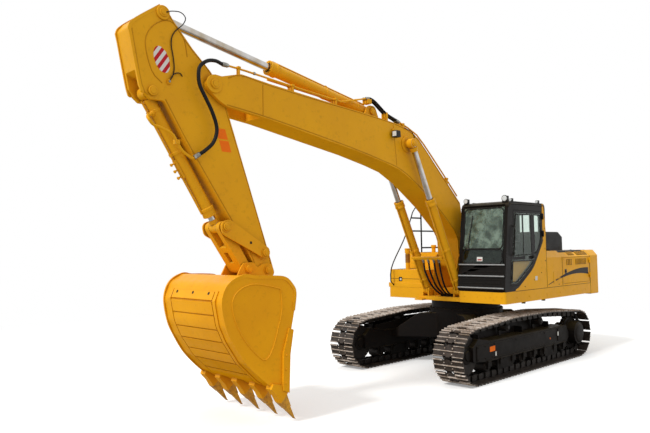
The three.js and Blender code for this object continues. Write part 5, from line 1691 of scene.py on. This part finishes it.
@dataclass(frozen=True)
class Bucket:
    """Wear plates, side relief, cutter bolts, teeth with worn and painted-shade tips, and pin caps of the bucket."""

    strip_half: float = 500.0
    widest: float = 1548.0
    slope: float = 0.124
    pivot: Flat = (5470.0, 2070.0)
    link: Flat = (5822.0, 2099.0)
    teeth: tuple[float, ...] = (-792.0, -410.0, 0.0, 410.0, 792.0)
    tooth_root: float = 318.0       # height above which the teeth keep the lip's width
    tooth_tip: float = 20.0
    tooth_share: float = 0.34       # width of a tooth's tip, as a share of its root's
    bare_below: float = 300.0       # height below which the teeth take the darker tooth finish: partly rubbed paint, partly painted shade

    def side_y(self, x: float) -> float:
        """Half width of the flared sides at a place along the machine."""
        return self.widest - self.slope * x

    def build(self) -> None:
        """Make the bucket's fittings and its tapered teeth."""
        self.shell()
        piece = Piece("bucket_fittings", "bucket", Slot.YELLOW, Finish.BUCKET)
        back = [(6543, 1928), (6648, 1700), (6585, 1382), (6482, 1166), (6279, 869), (5972, 584), (5745, 450)]
        heights = (1830, 1704, 1519, 1327, 1157, 992, 849, 684, 540)
        for high, low in zip(heights, heights[1:]):
            self.strip(piece, back, low + 9, high - 9, -self.strip_half, self.strip_half)
        for y in (-self.strip_half - 78, self.strip_half + 16):
            for high, low in zip(heights, heights[1:]):
                self.strip(piece, back, low, high, y, y + 62)
        # dark discs for holes in the back: painted shadow
        for y in (-400, 0, 380):
            a, b = self.on_back(back, 1795)
            piece.turned((a.x, y, a.z), (b.x, 0, b.z), [(-4, 22), (15.5, 22)], Finish.SHADOW, 20)
        edge = [(5538, 1520), (5510, 1767), (5566, 1885), (5682, 1981), (5900, 2006), (6150, 2016), (6318, 2034),
                (6543, 1928), (6640, 1700), (6585, 1382), (6482, 1166), (6279, 869), (5972, 584), (5770, 460)]
        for way in (-1, 1):
            rim(piece, [(x, way * (self.side_y(x) - 10), z) for x, z in edge], 28, 36, 12)
            self.relief(piece, way)
            face = way * (self.side_y(5650) + 25)
            for x, z in ((5690, 1120), (5700, 930), (5706, 740), (5715, 560)):
                piece.bolt((x, face, z), (0, way, 0), 17)
            for place in (self.pivot, self.link):
                pin_cap(piece, place, way * 226, way, 56)
        piece.done(2.0)

    def on_back(self, back: Sequence[Flat], height: float) -> tuple[Vector, Vector]:
        """Find a place on the curved back.

        Args:
            back: Corners (x, z) of the back, from the top down.
            height: Height to find.

        Returns:
            The place and the way out of the back there.
        """
        for (x0, z0), (x1, z1) in zip(back, back[1:]):
            if z1 <= height <= z0:
                t = (height - z0) / (z1 - z0)
                way = Vector((x1 - x0, 0, z1 - z0)).normalized()
                return Vector((x0 + (x1 - x0) * t, 0, height)), Vector((-way.z, 0, way.x))
        raise ValueError(height)

    def strip(self, piece: Piece, back: Sequence[Flat], low: float, high: float, right: float, left: float) -> None:
        """Wear plate welded on the curved back.

        Args:
            piece: Piece that it joins.
            back: Corners (x, z) of the back, from the top down.
            low: Height of its foot.
            high: Height of its top.
            right: Its right edge.
            left: Its left edge.
        """
        rows = []
        for k in range(4):
            place, out = self.on_back(back, low + (high - low) * k / 3)
            rows.append([Vector((place.x + out.x * d, y, place.z + out.z * d))
                         for y, d in ((right, -14), (right, 14), (left, 14), (left, -14))])
        piece.rings(rows)

    def relief(self, piece: Piece, way: int) -> None:
        """Raised edge of the wear plate on a flared side.

        Args:
            piece: Piece that it joins.
            way: 1 on the left, -1 on the right.
        """
        line = [(5760, 1830), (5980, 1885), (6200, 1910), (6400, 1840), (6500, 1690), (6460, 1460), (6330, 1200),
                (6120, 960), (6000, 900), (5900, 1020), (5810, 1280), (5740, 1560), (5760, 1830)]
        piece.tube([(x, way * (self.side_y(x) + 1), z) for x, z in line], 9, step=60)

    def shell(self) -> None:
        """The bucket's own mesh with its teeth drawn in to points, with a darker finish low on the teeth that is
        partly rubbed steel, partly painted shade.
        """
        data = frame["nodes"]["bucket"].data.copy()
        data.name = "bucket_shell"
        made = placed("bucket_shell", data)
        for corner in data.vertices:
            x, z = (corner.co.x - SWING_X) / MM, corner.co.z / MM
            y = corner.co.y / MM
            if z < self.tooth_root and x < 5860:
                tooth = min(self.teeth, key=lambda place: abs(y - place))
                share = min(1.0, max(0.0, (z - self.tooth_tip) / 290))
                corner.co.y = (tooth + (y - tooth) * (self.tooth_share + 0.66 * share)) * MM
        data.materials.clear()
        data.materials.append(material(Finish.BUCKET))
        data.materials.append(material(Finish.TOOTH))
        for face in data.polygons:
            x, z = (face.center.x - SWING_X) / MM, face.center.z / MM
            face.material_index = 1 if z < self.bare_below and x < 5800 else 0
        smooth(made, 5.0, welded=True)
        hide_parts("bucket")
        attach(made, "bucket")
        log.info("bucket_shell: replaces bucket")


@dataclass(frozen=True)
class Linkage:
    """Bosses of the rocker and the bucket link, with grease holes drawn as discs of painted shadow."""

    upper: Flat = (6224.0, 2694.0)
    rocker: Flat = (5536.0, 2323.0)

    def build(self) -> None:
        """Make the caps on the rocker's plates."""
        piece = Piece("rocker_fittings", "rocker")
        for way in (-1, 1):
            for place in (self.upper, self.rocker):
                pin_cap(piece, place, way * 260, way, 58)
            # dark disc for a grease hole: painted shadow
            piece.turned((5800, way * 240, 2470), (0, way, 0), [(-1, 20), (3, 20)], Finish.SHADOW, 24)
        piece.done(2.0)


@dataclass(frozen=True)
class Cylinder:
    """One cylinder's gland, bands, pipe and rod wiper, drawn along its axis from its base eye."""

    name: str
    barrel_body: str
    rod_body: str
    start: Flat
    end: Flat
    across: float
    length: float
    radius: float
    gland: float
    gland_radius: float
    rod: float
    eye: float
    eye_half: float
    pipe_side: int = 1
    bolted: bool = False    # with a clamp block of long bolts on the barrel
    neck: float = 70.0      # length of the cone between the rod and its eye

    def build(self) -> None:
        """Make the barrel's fittings and the rod's wiper."""
        axis = aimed(self.start, self.end)
        piece = Piece(f"{self.name}_fittings", self.barrel_body, frame_in=axis)
        y, end, neck = self.across, self.length, self.neck
        radius, rod, eye, half = self.radius, self.rod, self.eye, self.eye_half
        gland, side = self.gland_radius, self.pipe_side
        # the gland's ring of bolts and its stepped nose
        piece.turned((end - self.gland - 10, y, 0), AHEAD, [
            (0, radius + 2), (8, gland + 4), (44, gland + 4), (50, gland - 2)], sides=44)
        piece.turned((end - 30, y, 0), AHEAD, [(0, gland + 3), (26, gland + 3), (30, gland - 3)], sides=44)
        for k in range(10):
            angle = 2 * math.pi * k / 10
            piece.bolt((end, y + gland * 0.78 * math.cos(angle), gland * 0.78 * math.sin(angle)), AHEAD, 9)
        for place in (end * 0.12, end * 0.45):
            piece.turned((place, y, 0), AHEAD, [
                (0, radius + 1), (4, radius + 6), (40, radius + 6), (44, radius + 1)], sides=44)
            piece.block((place, place + 44), (y - 26, y + 26), span(side * radius, side * (radius + 34)))
        if self.bolted:
            # clamp block whose three long bolts stand out in front of the barrel
            piece.block((940, 1210), (y - 34, y + 34), (radius - 4, radius + 26))
            for k in range(3):
                spot = (975 + 100 * k, y, radius + 20)
                piece.turned(spot, UP, [(0, 20), (14, 20), (16, 13), (52, 13), (54, 22), (72, 22)], sides=14)
        # steel pipe from the base port along the barrel to the gland
        out = side * (radius + 24)
        piece.tube([(end * 0.06, y, side * (radius - 6)), (end * 0.065, y, out),
                    (end * 0.1, y, out), (end - self.gland - 70, y, out), (end - self.gland - 20, y, out),
                    (end - self.gland + 10, y, side * (gland - 4))], 13, step=60)
        piece.done(2.0)
        seal = Piece(f"{self.name}_wiper", self.barrel_body, Slot.DARK, Finish.SEAL, axis)
        seal.turned((end - 2, y, 0), AHEAD, [(0, rod + 13), (9, rod + 9), (12, rod + 3)], sides=40)
        seal.done()
        reach = (Vector(self.end) - Vector(self.start)).length
        skin = Piece(f"{self.name}_rod_skin", self.rod_body, Slot.CHROME, Finish.CHROME, axis)
        skin.turned((end - 260, y, 0), AHEAD, [
            (0, rod - 1), (3, rod + 0.8), (reach - end + 170, rod + 0.8), (reach - end + 173, rod - 1)], sides=72)
        skin.done()
        head = Piece(f"{self.name}_rod_head", self.rod_body, frame_in=axis)
        head.turned((reach, y - half - 0.6, 0), (0, 1, 0), [
            (0, eye - 3), (4, eye + 1), (2 * half - 3, eye + 1), (2 * half + 1.2, eye - 3)], sides=48)
        head.turned((reach - eye - neck, y, 0), AHEAD, [
            (0, rod + 2), (8, rod + 12), (neck + eye * 0.1, eye * 0.86)], sides=40)
        head.done(2.0)


def cylinders() -> list[Cylinder]:
    """List the four cylinders as built.

    Returns:
        The cylinders, from the boom's to the bucket's.
    """
    foot, lift = (800.0, 1500.0), (2185.0, 4267.0)
    made = [Cylinder(f"boom_cylinder_{side}", f"boom_cylinder_{side}", f"boom_rod_{side}", foot, lift, y,
                     1972, 85, 120, 94, 52, 90, 50, pipe_side=-1) for side, y in (("left", 376.0), ("right", -376.0))]
    made.append(Cylinder("arm_cylinder", "arm_cylinder", "arm_rod", (3010.0, 4785.0), (7168.0, 5496.0), 0.0,
                         2285, 97, 150, 112, 60, 95, 95, neck=12.0))
    made.append(Cylinder("bucket_cylinder", "bucket_cylinder", "bucket_rod", (7322.0, 4432.0), (6224.0, 2694.0), 0.0,
                         1860, 85, 130, 98, 50, 80, 75, bolted=True, neck=50.0))
    return made


@dataclass(frozen=True)
class Hoses:
    """Hydraulic hoses with their crimped ferrules, their stands and the arm's steel pipe."""

    def build(self) -> None:
        """Make each group of hoses."""
        self.arm_hose()
        self.cylinder_hoses()
        self.boom_hoses()
        self.bucket_pipe()

    def ferrule(self, piece: Piece, end: Spot, inward: Spot, radius: float) -> None:
        """Crimped ferrule and hexagon union at a hose's end.

        Args:
            piece: Piece that it joins.
            end: End of the hose.
            inward: Next place along the hose.
            radius: Radius of the hose.
        """
        way = (Vector(inward) - Vector(end)).normalized()
        piece.turned(end, way, [(-12, radius * 0.8), (0, radius * 1.18), (20, radius * 1.18), (22, radius * 1.3),
                                (70, radius * 1.3), (76, radius * 1.1)], Finish.ZINC, 20)
        piece.turned(end, way, [(-16, radius * 1.1), (-13, radius * 1.36), (8, radius * 1.36), (11, radius * 1.1)],
                     Finish.ZINC, 6)

    def arm_hose(self) -> None:
        """Hose that hangs in an S from the boom's pipe to the bucket cylinder's pipe."""
        route = [(6181, 212, 4980), (6260, 212, 4982), (6400, 262, 4988), (6560, 300, 4948), (6680, 305, 4850),
                 (6706, 305, 4719), (6683, 305, 4583), (6592, 305, 4427), (6499, 305, 4271), (6428, 305, 4097),
                 (6420, 303, 3967), (6478, 300, 3830), (6600, 290, 3715), (6730, 250, 3620)]
        hose = Piece("arm_s_hose", "boom", Slot.RUBBER, Finish.HOSE)
        hose.tube(route, 26, sides=20, step=24)
        made = hose.done(blended=True)
        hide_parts("arm_hose")
        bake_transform(made)
        top = Piece("arm_hose_top_union", "boom", Slot.DARK, Finish.ZINC)
        self.ferrule(top, route[0], route[1], 26)
        top.done(1.5)
        low = Piece("arm_hose_low_union", "arm", Slot.DARK, Finish.ZINC)
        self.ferrule(low, route[-1], route[-2], 26)
        low.done(1.5)

    def cylinder_hoses(self) -> None:
        """Four hoses from the deck up to the bar on the boom cylinders, and their foot block."""
        foot = Piece("hose_foot_block", "house", Slot.DARK, Finish.FRAME)
        foot.block((700, 800), (-60, 250), (1380.3, 1425))
        bar = Piece("hose_bar_unions", "boom_cylinder_right", Slot.DARK, Finish.ZINC)
        hoses = Piece("boom_cylinder_hoses", "house", Slot.RUBBER, Finish.HOSE)
        for high, low in ((-140, -25), (-20, 60), (110, 140), (230, 222)):
            route = [(1253.5, high, 2127), (1227, high, 2074), (1180, high, 1880), (1070, (high + low) / 2, 1620),
                     (920, low, 1460), (800, low, 1412), (720, low, 1410)]
            hoses.tube(route, 18, sides=16, step=30)
            self.ferrule(bar, route[0], route[1], 18)
            foot.bolt((750, low + 28, 1424), UP, 8)
        foot.done(2.0)
        bar.done(1.0)
        made = hoses.done(blended=True)
        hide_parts("cylinder_hoses")
        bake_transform(made)

    def boom_hoses(self) -> None:
        """Pair of hoses from the arm cylinder's base back to the pipes, on one stand."""
        piece = Piece("boom_top_hoses", "boom", Slot.RUBBER, Finish.HOSE)
        ends = Piece("boom_hose_unions", "boom", Slot.DARK, Finish.ZINC)
        for y in (212, 155):
            route = [(3238.4, y, 4965.4), (3130, y, 4980), (2980, y, 4930), (2710, y, 4775), (2480, y, 4706),
                     (2360.6, y, 4670.2)]
            piece.tube(route, 21, sides=18, step=28)
            for end, inward in (route[:2], route[:-3:-1]):
                self.ferrule(ends, end, inward, 21)
        made = piece.done()
        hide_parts("boom_hoses")
        ends.block((2690, 2730), (120, 240), (4641.5, 4790), Finish.YELLOW)
        ends.done(1.5)

    def bucket_pipe(self) -> None:
        """Steel pipe from the hose's lower end up and over to the bucket cylinder's base."""
        pipe = Piece("bucket_steel_pipe", "arm")
        y = 216
        pipe.turned((7222, 36, 4180), (0.8, 0.45, -0.4), [(0, 34), (56, 34), (61, 28)], sides=18)
        pipe.tube([(7215, 30, 4184), (7300, 84, 4142), (7375, 150, 4105), (7396, y, 4056), (7330, y, 3990),
                   (7215, y, 3960), (7060, y, 3900), (6985, y, 3800), (6900, y, 3690), (6770, 232, 3605),
                   (6735, 246, 3618)], 19, sides=14, step=26)
        pipe.block((6955, 7015), (170, y + 26), (3770, 3830))
        for z in (3785, 3815):
            pipe.bolt((6985, y + 25, z), (0, 1, 0), 9)
        pipe.done(1.5)


# ---------------------------------------------------------------- studio
@dataclass(frozen=True)
class Studio:
    """Camera, floor and lights."""

    eye: Spot = (9.2674, 7.465, 2.369)
    yaw: float = -134.333
    pitch: float = 2.907
    roll: float = -0.896
    lens: float = 34.98
    floor_half: float = 90.0
    sky: float = 0.76
    sun: float = 1.85
    sun_way: Spot = (-0.7, 0.04, -0.7)

    def build(self) -> None:
        """Make the camera, the floor, the world and the lamp."""
        self.camera()
        self.floor()
        self.world()
        self.lamp()

    def camera(self) -> None:
        """Camera in front of the machine's left corner, a little above the tracks."""
        data = bpy.data.cameras.new("camera")
        data.lens = self.lens
        data.sensor_width = 36
        data.clip_end = 400
        camera = placed("camera", data)
        yaw, pitch, roll = (math.radians(v) for v in (self.yaw, self.pitch, self.roll))
        ahead = Vector((math.cos(pitch) * math.cos(yaw), math.cos(pitch) * math.sin(yaw), math.sin(pitch)))
        right = ahead.cross(Vector((0, 0, 1))).normalized()
        up = right.cross(ahead)
        side = math.cos(roll) * right + math.sin(roll) * up
        top = -math.sin(roll) * right + math.cos(roll) * up
        camera.matrix_world = Matrix((
            (side.x, top.x, -ahead.x, self.eye[0]),
            (side.y, top.y, -ahead.y, self.eye[1]),
            (side.z, top.z, -ahead.z, self.eye[2]),
            (0, 0, 0, 1)))
        bpy.context.scene.camera = camera

    def seen(self, tree: bpy.types.NodeTree, mirrored: bool = True) -> Socket:
        """Tell rays that show the backdrop from those that light the machine.

        Args:
            tree: Node tree that asks.
            mirrored: True to count rays that come by way of a glossy surface.

        Returns:
            1 for rays that show it directly, through glass or mirrored.
        """
        total = None
        for name in ("Is Camera Ray", "Is Transmission Ray", "Is Glossy Ray")[:3 if mirrored else 2]:
            ray = add_node(tree, "LightPath", out=name)
            total = ray if total is None else add_node(tree, "Math", {0: total, 1: ray}, operation="MAXIMUM")
        return total

    def floor(self) -> None:
        """Pale matt floor that keeps the machine's shadow and fades into the backdrop far away."""
        mesh = bpy.data.meshes.new("floor")
        h = self.floor_half
        mesh.from_pydata([(-h, -h, 0), (h, -h, 0), (h, h, 0), (-h, h, 0)], [], [(0, 1, 2, 3)])
        floor = placed("floor", mesh)
        shade = Shade("pale_floor")
        tree = shade.tree
        # paler as it is seen than as it lights the machine from below
        direct = self.seen(tree, mirrored=False)
        shade.set(Base_Color=shade.layered("B2B0AC", (direct, "F2F2F0")), Roughness=0.95, Specular_IOR_Level=0.0)
        lift = add_node(tree, "Math", {0: direct, 1: 0.26}, operation="MULTIPLY")
        glow = add_node(tree, "Emission", {"Color": "FFFFFF", "Strength": lift})
        near = add_node(tree, "AddShader", {0: shade.shader.outputs[0], 1: glow})
        white = add_node(tree, "Emission", {"Color": "FFFFFF", "Strength": 1.0})
        reach = add_node(tree, "VectorMath", {0: shade.place}, "Value", operation="LENGTH")
        fade = add_node(tree, "MapRange", {"Value": reach, "From Min": 7.0, "From Max": 14.0})
        far = add_node(tree, "MixShader", {0: fade, 1: near, 2: white})
        whole = add_node(tree, "MixShader", {0: self.seen(tree), 1: shade.shader.outputs[0], 2: far})
        tree.links.new(whole, tree.nodes["Material Output"].inputs["Surface"])
        mesh.materials.append(shade.material)

    def world(self) -> None:
        """Even pale sky, shown as white."""
        world = bpy.data.worlds.new("soft_sky")
        world.use_nodes = True
        bpy.context.scene.world = world
        tree = world.node_tree
        lit = tree.nodes["Background"]
        lit.inputs["Color"].default_value = linear("FFFFFF")
        lit.inputs["Strength"].default_value = self.sky
        shown = add_node(tree, "Background", {"Color": "FFFFFF", "Strength": 1.0})
        whole = add_node(tree, "MixShader", {0: self.seen(tree), 1: lit.outputs[0], 2: shown})
        tree.links.new(whole, tree.nodes["World Output"].inputs["Surface"])

    def lamp(self) -> None:
        """One large soft key lamp, high in front."""
        data = bpy.data.lights.new("key", "SUN")
        data.energy = self.sun
        data.angle = math.radians(9)
        key = placed("key", data)
        key.rotation_euler = Vector(self.sun_way).to_track_quat("-Z", "Y").to_euler()


# the CAD nodes that stay, by their finish and the width in millimetres of their rounded edges
KEPT_NODES: dict[tuple[Finish, float], tuple[str, ...]] = {
    (Finish.YELLOW, 3): (
        "arm_cylinder", "boom_cylinder_left", "boom_cylinder_right", "bucket_cylinder", "oil_filler"),
    (Finish.YELLOW, 4): ("cab_fairing", "left_door", "right_door"),
    (Finish.YELLOW, 5): ("deck", "housing_frame", "rocker"),
    (Finish.YELLOW, 6): ("arm", "boom", "bucket_link"),
    (Finish.YELLOW, 10): ("tool_box",),
    (Finish.YELLOW, 14): ("counterweight", "fuel_tank"),
    (Finish.CHROME, 2): ("arm_rod", "boom_rod_left", "boom_rod_right", "bucket_rod"),
    (Finish.CHARCOAL, 0): ("handrail",),
    (Finish.CHARCOAL, 5): ("cab_door",),
    (Finish.CHARCOAL, 7): ("cab_shell",),
    (Finish.CHARCOAL, 8): ("engine_hood",),
    (Finish.FRAME, 3): ("sprocket_left", "sprocket_right"),
    (Finish.FRAME, 4): ("swing_ring",),
    (Finish.FRAME, 7): ("track_frame_left", "track_frame_right"),
    (Finish.FRAME, 8): ("centre_frame",),
    (Finish.LINK, 4): ("idler_left", "idler_right"),
    (Finish.LINK, 10): ("engine_block",),
    (Finish.CONSOLE, 6): ("seat_stand",),
    (Finish.GLASS, 0): ("door_glass", "rear_glass", "right_glass"),
    (Finish.SCREEN, 0): ("windscreen",),
}


def dress() -> None:
    """Give each CAD node that stays its finish and its rounded edges."""
    for (finish, width), names in KEPT_NODES.items():
        for name in names:
            node = frame["nodes"][name]
            node.data.materials.clear()
            node.data.materials.append(material(finish))
            smooth(node, width, welded=True)


def main() -> None:
    """Build the whole visual model."""
    logging.basicConfig(level=logging.INFO, format="%(message)s")
    bpy.context.scene.view_settings.view_transform = "Standard"
    Studio().build()
    dress()
    for side, middle in (("left", TRACK_Y), ("right", -TRACK_Y)):
        Track(side, middle).build()
        SideFrame(side, middle).build()
    for part in (Centre(), Body(), Cab(), Boom(), Arm(), Bucket(), Linkage(), *cylinders(), Hoses()):
        part.build()


if __name__ == "__main__":
    main()
